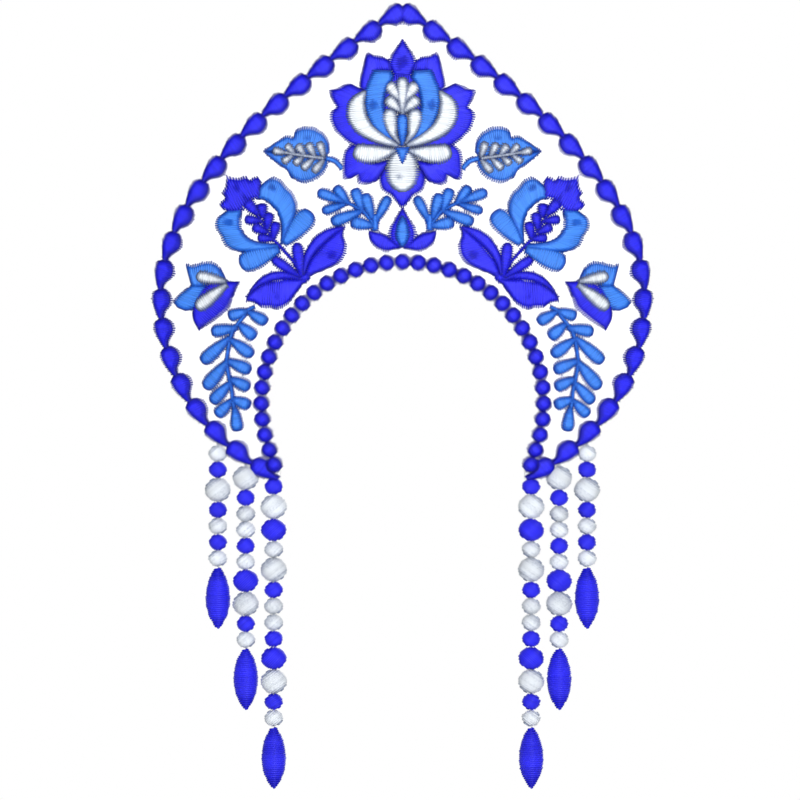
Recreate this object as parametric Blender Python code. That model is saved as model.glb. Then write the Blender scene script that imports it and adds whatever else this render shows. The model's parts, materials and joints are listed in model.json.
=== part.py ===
"""A kokoshnik: a bowed plate of white cloth with an arch for the head, raised embroidery and hanging strands.

Everything on the plate is drawn flat as seen from the front (x to the right, z up, zero at the crown of the
arch) and then wrapped on a plate that sweeps back at its sides. The front faces -Y. The origin is the crown of
the head band's inside, halfway along its depth.
"""
import math

import bmesh
import bpy
from mathutils import Vector
from mathutils.geometry import delaunay_2d_cdt, interpolate_bezier

MM = 0.001

# Clearance between pieces that touch
GAP = 0.3 * MM

# Mesh tolerances: points this close are one, faces this near to level are one, edges past this stay sharp
MERGE = 0.0001 * MM
FLAT_ANGLE = math.radians(1.0)
SMOOTH_ANGLE = math.radians(40.0)

# Arch for the head
ARCH_RADIUS = 86.0 * MM
ARCH_SWEEP = math.radians(116.0)
ARCH_LIP = 2.4 * MM

# Outer line, the middle of the teardrop border
PLATE_RISE = 153.5 * MM
PLATE_HALF_WIDTH = 147.5 * MM
WIDEST_DROP = 22.0 * MM
END_INSET = 2.6 * MM
END_DROP = 8.0 * MM
PEAK_SLOPE = math.radians(34.5)
END_SLOPE = math.radians(27.5)

# How far each handle of the outer line reaches, as a share of the span it shapes
PEAK_PULL = 0.63
SHOULDER_PULL = 0.38
CHEEK_PULL = 0.41
END_PULL = 0.755
LINE_SAMPLES = 100

# Plate and band
PLATE_THICKNESS = 3.0 * MM
PLATE_MARGIN = 1.2 * MM
BOW_RADIUS = 330.0 * MM
BOW_STEP = 16.0 * MM
EDGE_STEP = 13.0 * MM
ARCH_STEP = 12.0 * MM
BAND_DEPTH = 26.0 * MM
BAND_THICKNESS = 2.0 * MM
BAND_SWEEP = math.radians(106.0)

# Borders
TEAR_LENGTH = 18.0 * MM
TEAR_WIDTH = 11.2 * MM
TEAR_HEIGHT = 3.0 * MM
ROUND_SIZE = 9.8 * MM
ROUND_HEIGHT = 2.8 * MM

# Raised motifs
PATCH_HEIGHT = 1.0 * MM

# Strands
SMALL_WIDTH = 11.4 * MM
SMALL_LENGTH = 9.8 * MM
WHITE_WIDTH = 15.8 * MM
WHITE_LENGTH = 14.6 * MM
BLUE_WIDTH = 15.8 * MM
BLUE_LENGTH = 13.5 * MM
DROP_WIDTH = 15.8 * MM
DROP_LENGTH = 38.0 * MM
THREAD_WIDTH = 1.6 * MM
BEAD_NECK = 3.2 * MM
STRAND_INSET = 4.4 * MM
STRAND_CLEARANCE = 1.5 * MM
BEAD_SIDES = 10

# Depths, with the origin halfway along the band
PLATE_FRONT = -(BAND_DEPTH / 2 + GAP + PLATE_THICKNESS)
PLATE_MIDDLE = -PLATE_THICKNESS / 2

# One teardrop along its length: place, half-width and height, as shares of its length, half-width and height
TEAR_SECTIONS = (
    (0.00, 0.24, 0.50),
    (0.13, 0.80, 0.85),
    (0.33, 1.00, 1.00),
    (0.64, 0.60, 0.78),
)

# One round bead along the row: place, half-width and height, as shares of its length, half-width and height
ROUND_SECTIONS = (
    (0.00, 0.36, 0.50),
    (0.28, 0.97, 1.00),
    (0.72, 0.97, 1.00),
)

# The stretch over which the row climbs onto the outer border, as a share of a round bead
CLIMB_SPAN = 0.4

# Corners of a border's section: across as a share of its half-width, up as a share of its height
DOME_CORNERS = (
    (-1.00, 0.00),
    (1.00, 0.00),
    (0.70, 0.70),
    (0.00, 1.00),
    (-0.70, 0.70),
)

# A small and a big hanging bead: depth down its length and radius, as shares of its length and half-width
SMALL_RINGS = (
    (0.28, 0.96),
    (0.72, 0.96),
)
BIG_RINGS = (
    (0.16, 0.76),
    (0.50, 1.00),
    (0.84, 0.76),
)

# One hanging drop, in the same shares
DROP_RINGS = (
    (0.00, 0.36),
    (0.15, 0.70),
    (0.36, 0.97),
    (0.57, 0.97),
    (0.81, 0.68),
    (1.00, 0.12),
)

# Bead kinds by letter: width, length, rings and colour
BEADS = {
    "w": (SMALL_WIDTH, SMALL_LENGTH, SMALL_RINGS, "white"),
    "b": (SMALL_WIDTH, SMALL_LENGTH, SMALL_RINGS, "royal"),
    "W": (WHITE_WIDTH, WHITE_LENGTH, BIG_RINGS, "white"),
    "B": (BLUE_WIDTH, BLUE_LENGTH, BIG_RINGS, "royal"),
}

# Strands from the arch outwards: name, beads from the top, bare thread above them as a share of TEAR_WIDTH,
# and thread that shows between two beads as a share of THREAD_WIDTH
STRANDS = (
    ("inner", "bWBwWbwwbBWbw", 0.14, 0.12),
    ("middle", "WbwwbwBWbw", 0.43, 0.00),
    ("outer", "wbWbwbw", 0.63, 0.08),
)

# Colours as they look in daylight
COLOURS = {
    "cloth": (0.96, 0.96, 0.97),
    "royal": (0.26, 0.27, 0.95),
    "light": (0.28, 0.55, 0.93),
    "white": (0.92, 0.93, 0.95),
}
THREAD_ROUGHNESS = 0.45
CLOTH_ROUGHNESS = 0.85

# Where each motif's root lies: angle about the arch's centre from straight up, share of the free strip
# between the borders, side of the motif's frame as a share of that strip, and colour
MOTIF_PLACES = {
    "centre_flower": (0.0, 0.452, 0.427, "royal"),
    "centre_bud": (0.0, 0.030, 0.427, "royal"),
    "leaf": (17.0, 0.600, 0.564, "light"),
    "sprig": (8.35, 0.133, 0.497, "light"),
    "rose": (37.7, 0.345, 0.697, "light"),
    "leaf_pair": (38.5, 0.065, 0.700, "royal"),
    "bud": (55.5, 0.508, 0.810, "royal"),
    "fern": (76.2, 0.361, 1.176, "light"),
}

# Petals of each motif on the left side, in hundredths of its frame from its root: base across and up,
# tip across and up, width, bend to the left of the way from base to tip, and where the petal is widest
MOTIF_PETALS = {
    "centre_flower": (
        (0, -30, 0, 84, 92, 0, 0.45),
        (0, 55, 0, 109, 30, 0, 0.42),
        (-6, 34, -34, 95, 42, 0, 0.58),
        (-14, 24, -72, 56, 36, 0, 0.62),
        (-10, 6, -71, 31, 34, 2, 0.62),
        (-8, 2, -58, -31, 34, 0, 0.62),
        (-4, -4, -38, -37, 30, 0, 0.66),
        (0, 6, 0, -60, 44, 0, 0.60),
    ),
    "centre_bud": (
        (0, -2, 0, 38, 28, 0, 0.42),
        (3, 0, -33, 13, 16, 3, 0.52),
    ),
    "leaf": (
        (0, 2, -65, 8, 35, 0, 0.50),
        (2, -1, -34, 27, 26, -4, 0.45),
        (2, 3, -42, -16, 26, 3, 0.45),
        (-2, 1, 14, -10, 5, 3, 0.50),
    ),
    "sprig": (
        (1, 1, -38, 29, 6, -4, 0.50),
        (0, 0, -3, 14, 7, 0, 0.50),
        (-3, 3, 9, 33, 9, 0, 0.60),
        (-3, 8, -11, 34, 10, 0, 0.60),
        (-15, 19, -24, 39, 10, 0, 0.60),
        (-28, 24, -39, 42, 9, 0, 0.60),
        (-36, 28, -56, 37, 10, 0, 0.60),
        (-33, 26, -51, 18, 8, 0, 0.60),
        (-16, 20, -41, 10, 11, 0, 0.60),
        (-2, 4, -22, 8, 10, 0, 0.60),
    ),
    "rose": (
        (-34, 36, -54, 71, 24, -2, 0.60),
        (-38, 34, -34, 70, 26, 0, 0.55),
        (-34, 38, -18, 66, 22, 0, 0.60),
        (-32, 38, -60, 44, 22, 0, 0.60),
        (0, 0, -50, 38, 24, 22, 0.55),
        (0, -2, -17, 58, 23, -15, 0.55),
        (1, 1, 27, 30, 17, 0, 0.50),
        (-2, -4, -31, -18, 21, 0, 0.50),
        (-1, 1, -32, 46, 8, 0, 0.50),
        (-28, 36, -14, 38, 9, 0, 0.50),
        (-19, 26, -35, 28, 9, 0, 0.50),
        (-16, 18, -12, 31, 9, 0, 0.50),
        (-8, 12, -25, 16, 9, 0, 0.50),
        (-1, 0, 8, -10, 5, 0, 0.50),
    ),
    "leaf_pair": (
        (2, -2, 41, 52, 38, 2, 0.50),
        (3, -1, -58, -22, 34, 0, 0.52),
        (5, -2, -7, 33, 12, 0, 0.68),
        (4, 0, -28, 19, 10, 0, 0.65),
    ),
    "bud": (
        (0, -3, -43, 19, 20, -3, 0.55),
        (-16, -4, -53, -20, 24, 0, 0.55),
        (13, 3, -30, -46, 31, -1, 0.56),
    ),
    "fern": (
        (-1, -3, 26, 54, 6, 6, 0.50),
        (-2, 3, 8, -52, 6, 0, 0.50),
        (21, 49, 3, 44, 11, 0, 0.50),
        (9, 33, -13, 28, 10, 0, 0.50),
        (2, 21, -22, 1, 12, 0, 0.50),
        (0, -1, -19, -26, 13, 0, 0.50),
        (3, -23, -13, -40, 11, 0, 0.50),
        (7, -39, -7, -53, 10, 0, 0.50),
        (17, 47, 34, 38, 11, 0, 0.50),
        (9, 35, 23, 24, 11, 0, 0.50),
        (2, 19, 21, 6, 11, 0, 0.50),
        (-1, 0, 19, -10, 11, 0, 0.50),
        (2, -18, 18, -26, 10, 0, 0.50),
        (4, -39, 18, -44, 9, 0, 0.50),
        (6, -46, 10, -65, 11, 0, 0.50),
    ),
}

# Points on each side of a petal, more on a wide one, and how full its sides are
PETAL_STEPS = 2
WIDE_PETAL_STEPS = 4
WIDE_PETAL = 9.0 * MM
PETAL_FULLNESS = 0.8


def clear_scene():
    for item in list(bpy.data.objects):
        bpy.data.objects.remove(item, do_unlink=True)


def make_material(name, colour, roughness):
    """A plain material whose colour is given as a screen shows it."""
    material = bpy.data.materials.new(name)
    material.use_nodes = True
    shader = material.node_tree.nodes["Principled BSDF"]
    linear = [c / 12.92 if c <= 0.04045 else ((c + 0.055) / 1.055) ** 2.4 for c in colour]
    shader.inputs["Base Color"].default_value = (*linear, 1.0)
    shader.inputs["Roughness"].default_value = roughness
    shader.inputs["Metallic"].default_value = 0.0
    return material


def bow_line(index, out):
    """Across and back of the bow's fold line of that number, raised out from the plate's front."""
    turn = math.asin(index * BOW_STEP / BOW_RADIUS)
    reach = BOW_RADIUS + out
    return reach * math.sin(turn), PLATE_FRONT + BOW_RADIUS - reach * math.cos(turn)


def bowed(x, out, z):
    """The point of the bowed plate that the flat drawing has at x and z, raised out from its front."""
    index = math.floor(x / BOW_STEP)
    share = x / BOW_STEP - index
    near_x, near_y = bow_line(index, out)
    far_x, far_y = bow_line(index + 1, out)
    return Vector((near_x + (far_x - near_x) * share, near_y + (far_y - near_y) * share, z))


def arch_point(angle, radius):
    """A flat point on a circle about the arch's centre, at an angle to the left of straight up."""
    return Vector((-radius * math.sin(angle), radius * math.cos(angle) - ARCH_RADIUS))


def outer_line():
    """The left half of the teardrop border's middle line, from the peak to the arch's end."""
    peak = Vector((0.0, PLATE_RISE))
    widest = Vector((-PLATE_HALF_WIDTH, -WIDEST_DROP))
    end = arch_point(ARCH_SWEEP, ARCH_RADIUS) + Vector((END_INSET, -END_DROP))
    peak_way = Vector((-math.cos(PEAK_SLOPE), -math.sin(PEAK_SLOPE)))
    end_way = Vector((math.cos(END_SLOPE), -math.sin(END_SLOPE)))
    up = Vector((0.0, 1.0))
    upper = interpolate_bezier(
        peak,
        peak + peak_way * PEAK_PULL * PLATE_HALF_WIDTH,
        widest + up * SHOULDER_PULL * (peak - widest).y,
        widest,
        LINE_SAMPLES,
    )
    lower = interpolate_bezier(
        widest,
        widest - up * CHEEK_PULL * (widest - end).y,
        end - end_way * END_PULL * (end - widest).x,
        end,
        LINE_SAMPLES,
    )
    return [Vector(p[:2]) for p in upper + lower[1:]]


def line_length(line):
    return sum((b - a).length for a, b in zip(line, line[1:]))


def along(line, distance):
    """The point at a distance along a line, with the line's direction there; it runs on straight past its ends."""
    left = distance
    for start, end in zip(line, line[1:]):
        span = (end - start).length
        if left <= span or end is line[-1]:
            way = (end - start).normalized()
            return start + way * left, way
        left -= span


def offset_line(line, amount, steps):
    """Evenly spaced points beside a line, on the right of its way, which is the outside of the plate."""
    length = line_length(line)
    points = []
    for step in range(steps + 1):
        point, way = along(line, length * step / steps)
        points.append(point + Vector((way.y, -way.x)) * amount)
    return points


def plate_edge(line):
    """The left half of the plate's outer edge, from the peak down."""
    edge = offset_line(line, PLATE_MARGIN, round(line_length(line) / EDGE_STEP))
    edge[0].x = 0.0
    edge[0].y = PLATE_RISE + PLATE_MARGIN / math.cos(PEAK_SLOPE)
    return edge


def free_strip(angle, line):
    """The flat strip between the borders along a ray from the arch's centre: its inner radius and its width."""
    centre = Vector((0.0, -ARCH_RADIUS))
    inner = ARCH_RADIUS + ROUND_SIZE / 2
    for start, end in zip(line, line[1:]):
        turn = math.atan2(-(end - centre).x, (end - centre).y)
        if turn >= angle:
            return inner, (start - centre).length - TEAR_WIDTH / 2 - inner
    return inner, (line[-1] - centre).length - TEAR_WIDTH / 2 - inner


def finish(name, mesh_data, materials):
    """Turns a bmesh into a named object with outward faces, smooth where it is round."""
    bmesh.ops.recalc_face_normals(mesh_data, faces=mesh_data.faces)
    mesh = bpy.data.meshes.new(name)
    mesh_data.to_mesh(mesh)
    mesh_data.free()
    for material in materials:
        mesh.materials.append(material)
    mesh.shade_smooth()
    mesh.set_sharp_from_angle(angle=SMOOTH_ANGLE)
    made = bpy.data.objects.new(name, mesh)
    bpy.context.scene.collection.objects.link(made)
    return made


def raise_drawing(name, flat, low, high, material):
    """Gives a flat drawing its thickness and wraps it on the plate; flat is a bmesh in x and z."""
    reach = max(abs(v.co.x) for v in flat.verts)
    for index in range(-math.ceil(reach / BOW_STEP), math.ceil(reach / BOW_STEP) + 1):
        bmesh.ops.bisect_plane(
            flat,
            geom=flat.verts[:] + flat.edges[:] + flat.faces[:],
            dist=MERGE,
            plane_co=(index * BOW_STEP, 0.0, 0.0),
            plane_no=(1.0, 0.0, 0.0),
        )
    raised = bmesh.ops.extrude_face_region(flat, geom=flat.faces[:])["geom"]
    front = {item for item in raised if isinstance(item, bmesh.types.BMVert)}
    for point in flat.verts:
        point.co = bowed(point.co.x, high if point in front else low, point.co.z)
    return finish(name, flat, [material])


def flat_union(outlines):
    """A bmesh of the flat area that overlapping outlines cover together."""
    points = []
    faces = []
    for outline in outlines:
        faces.append(list(range(len(points), len(points) + len(outline))))
        points.extend(outline)
    places, _, pieces, _, _, owners = delaunay_2d_cdt(points, [], faces, 0, MERGE, True)
    flat = bmesh.new()
    verts = [flat.verts.new((p.x, 0.0, p.y)) for p in places]
    for piece, owner in zip(pieces, owners):
        if owner:
            flat.faces.new([verts[i] for i in piece])
    bmesh.ops.delete(flat, geom=[v for v in flat.verts if not v.link_faces], context="VERTS")
    bmesh.ops.dissolve_limit(
        flat, angle_limit=FLAT_ANGLE, verts=flat.verts[:], edges=flat.edges[:], use_dissolve_boundaries=False
    )
    return flat


def petal_outline(base, tip, width, bend, widest):
    """A petal's outline, anticlockwise from its base; bend pushes its middle to the left."""
    way = tip - base
    side = Vector((-way.y, way.x)).normalized()
    steps = WIDE_PETAL_STEPS if width > WIDE_PETAL else PETAL_STEPS
    power = math.log(0.5) / math.log(widest)
    left = []
    right = []
    for step in range(1, steps + 1):
        share = step / (steps + 1)
        middle = base + way * share + side * bend * 4 * share * (1 - share)
        half = width / 2 * math.sin(math.pi * share**power) ** PETAL_FULLNESS
        left.append(middle + side * half)
        right.append(middle - side * half)
    return [base, *right, tip, *reversed(left)]


def mirrored(outline):
    """An outline on the other side of the axis, still anticlockwise."""
    return [Vector((-p.x, p.y)) for p in reversed(outline)]


def motif_outlines(motif, line):
    """The petals of a motif on the left side, at their size and place on the plate."""
    angle, share, fill, _ = MOTIF_PLACES[motif]
    inner, free = free_strip(math.radians(angle), line)
    root = arch_point(math.radians(angle), inner + free * share)
    unit = free * fill / 100
    outlines = []
    for base_x, base_y, tip_x, tip_y, width, bend, widest in MOTIF_PETALS[motif]:
        base = root + Vector((base_x, base_y)) * unit
        tip = root + Vector((tip_x, tip_y)) * unit
        outlines.append(petal_outline(base, tip, width * unit, bend * unit, widest))
    return outlines


def make_motif(motif, line, materials):
    """One patch on the axis, or a mirrored pair of patches."""
    angle, _, _, colour = MOTIF_PLACES[motif]
    left = motif_outlines(motif, line)
    right = [mirrored(outline) for outline in left]
    if angle == 0.0:
        patches = {motif: left + right}
    else:
        patches = {motif + "_left": left, motif + "_right": right}
    for name, outlines in patches.items():
        raise_drawing(name, flat_union(outlines), GAP, GAP + PATCH_HEIGHT, materials[colour])


def loft(name, rings, materials, colours=None):
    """A closed solid through rings of points, with a material number for each stretch between two rings."""
    colours = colours or [0] * (len(rings) - 1)
    solid = bmesh.new()
    rows = [[solid.verts.new(point) for point in ring] for ring in rings]
    count = len(rows[0])
    for near, far, colour in zip(rows, rows[1:], colours):
        for i in range(count):
            after = (i + 1) % count
            solid.faces.new((near[i], near[after], far[after], far[i])).material_index = colour
    solid.faces.new(rows[0]).material_index = colours[0]
    solid.faces.new(rows[-1]).material_index = colours[-1]
    return finish(name, solid, materials)


def dome_ring(centre, way, half, low, height):
    """A border's section across its line: flat below, domed above, wrapped on the plate."""
    outside = Vector((way.y, -way.x))
    ring = []
    for across, up in DOME_CORNERS:
        point = centre + outside * half * across
        ring.append(bowed(point.x, low + height * up, point.y))
    return ring


def make_plate(line, material):
    """The arched plate, its outline from the peak down the left, round the arch and up the right."""
    left = plate_edge(line)
    right = [Vector((-p.x, p.y)) for p in reversed(left[1:])]
    steps = round(2 * ARCH_SWEEP * ARCH_RADIUS / ARCH_STEP)
    arch = []
    for step in range(steps + 1):
        arch.append(arch_point(ARCH_SWEEP * (1 - 2 * step / steps), ARCH_RADIUS - ARCH_LIP))
    flat = bmesh.new()
    flat.faces.new([flat.verts.new((p.x, 0.0, p.y)) for p in left + arch + right])
    return raise_drawing("crown_plate", flat, -PLATE_THICKNESS, 0.0, material)


def make_band(material):
    """The band that sits on the head, straight back from behind the plate's arch."""
    steps = round(2 * BAND_SWEEP * ARCH_RADIUS / ARCH_STEP)
    rings = []
    for step in range(steps + 1):
        angle = BAND_SWEEP * (1 - 2 * step / steps)
        inner = arch_point(angle, ARCH_RADIUS)
        outer = arch_point(angle, ARCH_RADIUS + BAND_THICKNESS)
        ring = []
        for point, depth in ((inner, 0.0), (outer, 0.0), (outer, BAND_DEPTH), (inner, BAND_DEPTH)):
            front = bowed(point.x, -PLATE_THICKNESS, point.y).y + GAP
            ring.append(Vector((point.x, front + depth, point.y)))
        rings.append(ring)
    return loft("head_band", rings, [material])


def make_outer_border(name, line, mirror, material):
    """Half the chain of teardrops, from the peak to the arch's end."""
    length = line_length(line)
    count = round(length / TEAR_LENGTH)
    pitch = length / count
    rings = []
    for tear in range(count):
        for place, half, height in TEAR_SECTIONS:
            centre, way = along(line, (tear + place) * pitch)
            rings.append(dome_ring(centre, way, TEAR_WIDTH / 2 * half, GAP, TEAR_HEIGHT * height))
    centre, way = along(line, length)
    _, half, height = TEAR_SECTIONS[0]
    rings.append(dome_ring(centre, way, TEAR_WIDTH / 2 * half, GAP, TEAR_HEIGHT * height))
    for point in rings[0]:
        point.x = -GAP / 2
    for point in rings[1]:
        point.x = min(point.x, -GAP / 2)
    if mirror:
        rings = [[Vector((-p.x, p.y, p.z)) for p in ring] for ring in rings]
    return loft(name, rings, [material])


def make_inner_border(material):
    """The row of round beads along the arch; the two end beads lie on top of the outer border's ends."""
    count = round(ARCH_SWEEP * ARCH_RADIUS / ROUND_SIZE)
    pitch = ARCH_SWEEP / count
    stations = []
    for bead in range(-count, count + 1):
        for place, half, height in ROUND_SECTIONS:
            stations.append((bead - 0.5 + place, half, height))
    _, half, height = ROUND_SECTIONS[0]
    stations.append((count + 0.5, half, height))
    rings = []
    for place, half, height in stations:
        past = (abs(place) - count + 0.5) / CLIMB_SPAN
        climb = (TEAR_HEIGHT + GAP) * min(max(past + 0.5, 0.0), 1.0)
        angle = -place * pitch
        way = Vector((math.cos(angle), math.sin(angle)))
        centre = arch_point(angle, ARCH_RADIUS)
        rings.append(dome_ring(centre, way, ROUND_SIZE / 2 * half, GAP + climb, ROUND_HEIGHT * height))
    return loft("inner_border", rings, [material])


def lower_edge(edge, x):
    """The height of the plate's lower edge at a place across the left half."""
    below = [p for p in edge if p.y < -WIDEST_DROP]
    for start, end in zip(below, below[1:]):
        if start.x <= x <= end.x:
            return start.y + (end.y - start.y) * (x - start.x) / (end.x - start.x)
    return below[-1].y


def turned_ring(x, y, z, radius):
    ring = []
    for side in range(BEAD_SIDES):
        turn = 2 * math.pi * side / BEAD_SIDES
        ring.append(Vector((x + radius * math.cos(turn), y + radius * math.sin(turn), z)))
    return ring


def make_strand(side, index, edge, end_x, materials):
    """A threaded strand and the drop under it, hung from the plate's lower edge."""
    name, beads, bare, showing = STRANDS[index]
    spacing = max(SMALL_WIDTH, WHITE_WIDTH, BLUE_WIDTH, DROP_WIDTH) + STRAND_CLEARANCE
    x = end_x - STRAND_INSET - index * spacing
    place = bowed(x, PLATE_MIDDLE, 0.0)
    lowest = min(lower_edge(edge, x - THREAD_WIDTH / 2), lower_edge(edge, x + THREAD_WIDTH / 2))
    top = lowest - GAP
    down = lower_edge(edge, x) - TEAR_WIDTH * bare
    profile = [(top, THREAD_WIDTH / 2), (down, BEAD_NECK / 2)]
    colours = ["white"]
    for bead in beads:
        width, length, bead_rings, colour = BEADS[bead]
        for depth, radius in bead_rings:
            profile.append((down - length * depth, width / 2 * radius))
        down -= length + THREAD_WIDTH * showing
        profile.append((down, BEAD_NECK / 2))
        colours.extend([colour] * (len(bead_rings) + 1))
    across = place.x * side
    slots = ["white", "royal"]
    side_name = "left" if side > 0 else "right"
    loft(
        f"strand_{side_name}_{name}",
        [turned_ring(across, place.y, z, radius) for z, radius in profile],
        [materials[slot] for slot in slots],
        [slots.index(colour) for colour in colours],
    )
    start = down - GAP
    loft(
        f"drop_{side_name}_{name}",
        [
            turned_ring(across, place.y, start - DROP_LENGTH * depth, DROP_WIDTH / 2 * radius)
            for depth, radius in DROP_RINGS
        ],
        [materials["royal"]],
    )


def main():
    clear_scene()
    materials = {}
    for name, colour in COLOURS.items():
        roughness = CLOTH_ROUGHNESS if name == "cloth" else THREAD_ROUGHNESS
        materials[name] = make_material(name, colour, roughness)
    line = outer_line()
    edge = plate_edge(line)
    make_plate(line, materials["cloth"])
    make_band(materials["cloth"])
    make_outer_border("outer_border_left", line, False, materials["royal"])
    make_outer_border("outer_border_right", line, True, materials["royal"])
    make_inner_border(materials["royal"])
    for motif in MOTIF_PLACES:
        make_motif(motif, line, materials)
    for side in (1, -1):
        for index in range(len(STRANDS)):
            make_strand(side, index, edge, line[-1].x, materials)


main()
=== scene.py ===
# %% [markdown]
# # A kokoshnik in raised satin stitch
#
# The headdress is a stiff plate of white cloth, bowed round the forehead, with an arch cut up through it.
# Its ornament is padded satin stitch in two blues and white, and six strings of thread-wound beads hang
# from its lower edge. This lesson dresses the plain solids of the construction: every stitch is a thread of
# its own, laid over padding, and every hanging bead is a thread wound round a core.
#
# All lengths are in metres. The front faces -Y, up is +Z, and the origin is the crown of the arch.

# %% Load the construction
import json
import math
import random

import bmesh
import bpy
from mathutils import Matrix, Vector
from mathutils.geometry import interpolate_bezier

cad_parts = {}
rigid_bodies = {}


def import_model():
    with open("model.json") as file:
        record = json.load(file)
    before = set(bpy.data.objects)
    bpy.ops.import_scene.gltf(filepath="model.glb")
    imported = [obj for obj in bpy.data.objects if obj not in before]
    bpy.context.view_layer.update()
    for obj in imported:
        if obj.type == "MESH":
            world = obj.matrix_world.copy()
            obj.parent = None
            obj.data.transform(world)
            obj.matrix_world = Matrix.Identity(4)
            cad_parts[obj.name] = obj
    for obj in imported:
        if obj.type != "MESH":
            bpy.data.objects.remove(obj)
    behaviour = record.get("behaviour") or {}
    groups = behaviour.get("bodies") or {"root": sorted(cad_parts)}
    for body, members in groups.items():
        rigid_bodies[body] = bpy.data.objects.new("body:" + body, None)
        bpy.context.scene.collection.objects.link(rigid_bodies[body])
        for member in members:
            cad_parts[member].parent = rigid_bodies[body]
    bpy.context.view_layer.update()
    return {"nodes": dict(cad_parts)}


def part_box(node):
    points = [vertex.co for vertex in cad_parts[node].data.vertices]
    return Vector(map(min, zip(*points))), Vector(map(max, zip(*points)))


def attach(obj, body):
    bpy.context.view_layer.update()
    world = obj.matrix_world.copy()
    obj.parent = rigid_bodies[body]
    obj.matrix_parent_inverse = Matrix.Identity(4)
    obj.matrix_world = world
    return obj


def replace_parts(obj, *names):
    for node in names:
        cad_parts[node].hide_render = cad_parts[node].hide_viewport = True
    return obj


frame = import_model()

print("The construction holds", len(frame["nodes"]), "pieces")

# %% [markdown]
# ## The view
#
# The reference shows the headdress straight from the front, so the camera looks along +Y with a long lens.
# A short lens would swell what is nearest. The picture is square, and its width is set as a real length at
# the plate's front.

# %% Camera
MM = 0.001
PLATE_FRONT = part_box("crown_plate")[0].y
VIEW_WIDTH = 488.0 * MM
VIEW_CENTRE = Vector((-1.5 * MM, -84.2 * MM))
VIEW_DISTANCE = 4.0

camera_data = bpy.data.cameras.new("view")
camera_data.sensor_width = 36.0
camera_data.lens = camera_data.sensor_width * (VIEW_DISTANCE + PLATE_FRONT) / VIEW_WIDTH
camera = bpy.data.objects.new("view", camera_data)
camera.location = (VIEW_CENTRE.x, -VIEW_DISTANCE, VIEW_CENTRE.y)
camera.rotation_euler = (math.radians(90.0), 0.0, 0.0)
bpy.context.scene.collection.objects.link(camera)
bpy.context.scene.camera = camera
print("Lens of", round(camera_data.lens), "mm")

# %% [markdown]
# ## The drawing and its bow
#
# An embroiderer works flat and bends the finished cloth afterwards. This script does the same. Everything
# on the plate is drawn flat, with x to the right and z up, and y says how far a point stands behind the
# cloth's face, so a raised stitch has a negative y. One Geometry Nodes tree then bows the drawing.
#
# The arch is a circle's arc, and the outer line is two Bezier curves on each side: one from the peak to the
# widest point, and one from there in to the arch's end. They repeat the construction's own sizes.

# %% Sizes of the drawing
GAP = 0.3 * MM

ARCH_RADIUS = 86.0 * MM
ARCH_SWEEP = math.radians(116.0)
ARCH_LIP = 2.4 * MM
PLATE_RISE = 153.5 * MM
PLATE_HALF_WIDTH = 147.5 * MM
WIDEST_DROP = 22.0 * MM
END_INSET = 2.6 * MM
END_DROP = 8.0 * MM
PEAK_SLOPE = math.radians(34.5)
END_SLOPE = math.radians(27.5)
PEAK_PULL, SHOULDER_PULL, CHEEK_PULL, END_PULL = 0.63, 0.38, 0.41, 0.755
PLATE_THICKNESS = 3.0 * MM
PLATE_MARGIN = 1.2 * MM
BOW_RADIUS = 330.0 * MM
LINE_SAMPLES = 60


def arch_point(angle, radius=ARCH_RADIUS):
    """A flat point on a circle about the arch's centre, at an angle to the left of straight up."""
    return Vector((-radius * math.sin(angle), radius * math.cos(angle) - ARCH_RADIUS))


def outer_line():
    """The middle of the teardrop border's left half, from the peak to the arch's end."""
    peak = Vector((0.0, PLATE_RISE))
    widest = Vector((-PLATE_HALF_WIDTH, -WIDEST_DROP))
    end = arch_point(ARCH_SWEEP) + Vector((END_INSET, -END_DROP))
    peak_way = Vector((-math.cos(PEAK_SLOPE), -math.sin(PEAK_SLOPE)))
    end_way = Vector((math.cos(END_SLOPE), -math.sin(END_SLOPE)))
    up = Vector((0.0, 1.0))
    upper = interpolate_bezier(
        peak,
        peak + peak_way * PEAK_PULL * PLATE_HALF_WIDTH,
        widest + up * SHOULDER_PULL * (peak - widest).y,
        widest,
        LINE_SAMPLES,
    )
    lower = interpolate_bezier(
        widest,
        widest - up * CHEEK_PULL * (widest - end).y,
        end - end_way * END_PULL * (end - widest).x,
        end,
        LINE_SAMPLES,
    )
    return [Vector(p[:2]) for p in upper + lower[1:]]


def length_of(line):
    return sum((b - a).length for a, b in zip(line, line[1:]))


def along(line, distance):
    """The point at a distance along a line, and its direction there; the line runs on past its ends."""
    left = distance
    for start, end in zip(line, line[1:]):
        span = (end - start).length
        if left <= span or end is line[-1]:
            way = (end - start).normalized()
            return start + way * left, way
        left -= span


OUTER_LINE = outer_line()
OUTER_LENGTH = length_of(OUTER_LINE)
print("Each half of the border is", round(OUTER_LENGTH / MM), "mm long")

# %% [markdown]
# ## A small kit for node trees
#
# Both trees of this lesson are built from the same few moves: add a node, set its values, wire it. Named
# sockets on the outside of a tree carry its sizes, and a modifier's value is set by the socket's
# identifier.

# %% Helpers for Geometry Nodes
def new_tree(name, sockets):
    """An empty tree with a geometry in and out, and one named input for each row of name, kind and value."""
    tree = bpy.data.node_groups.new(name, "GeometryNodeTree")
    tree.interface.new_socket("Geometry", in_out="INPUT", socket_type="NodeSocketGeometry")
    tree.interface.new_socket("Geometry", in_out="OUTPUT", socket_type="NodeSocketGeometry")
    for label, kind, value in sockets:
        socket = tree.interface.new_socket(label, in_out="INPUT", socket_type=kind)
        if value is not None:
            socket.default_value = value
    return tree


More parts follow.
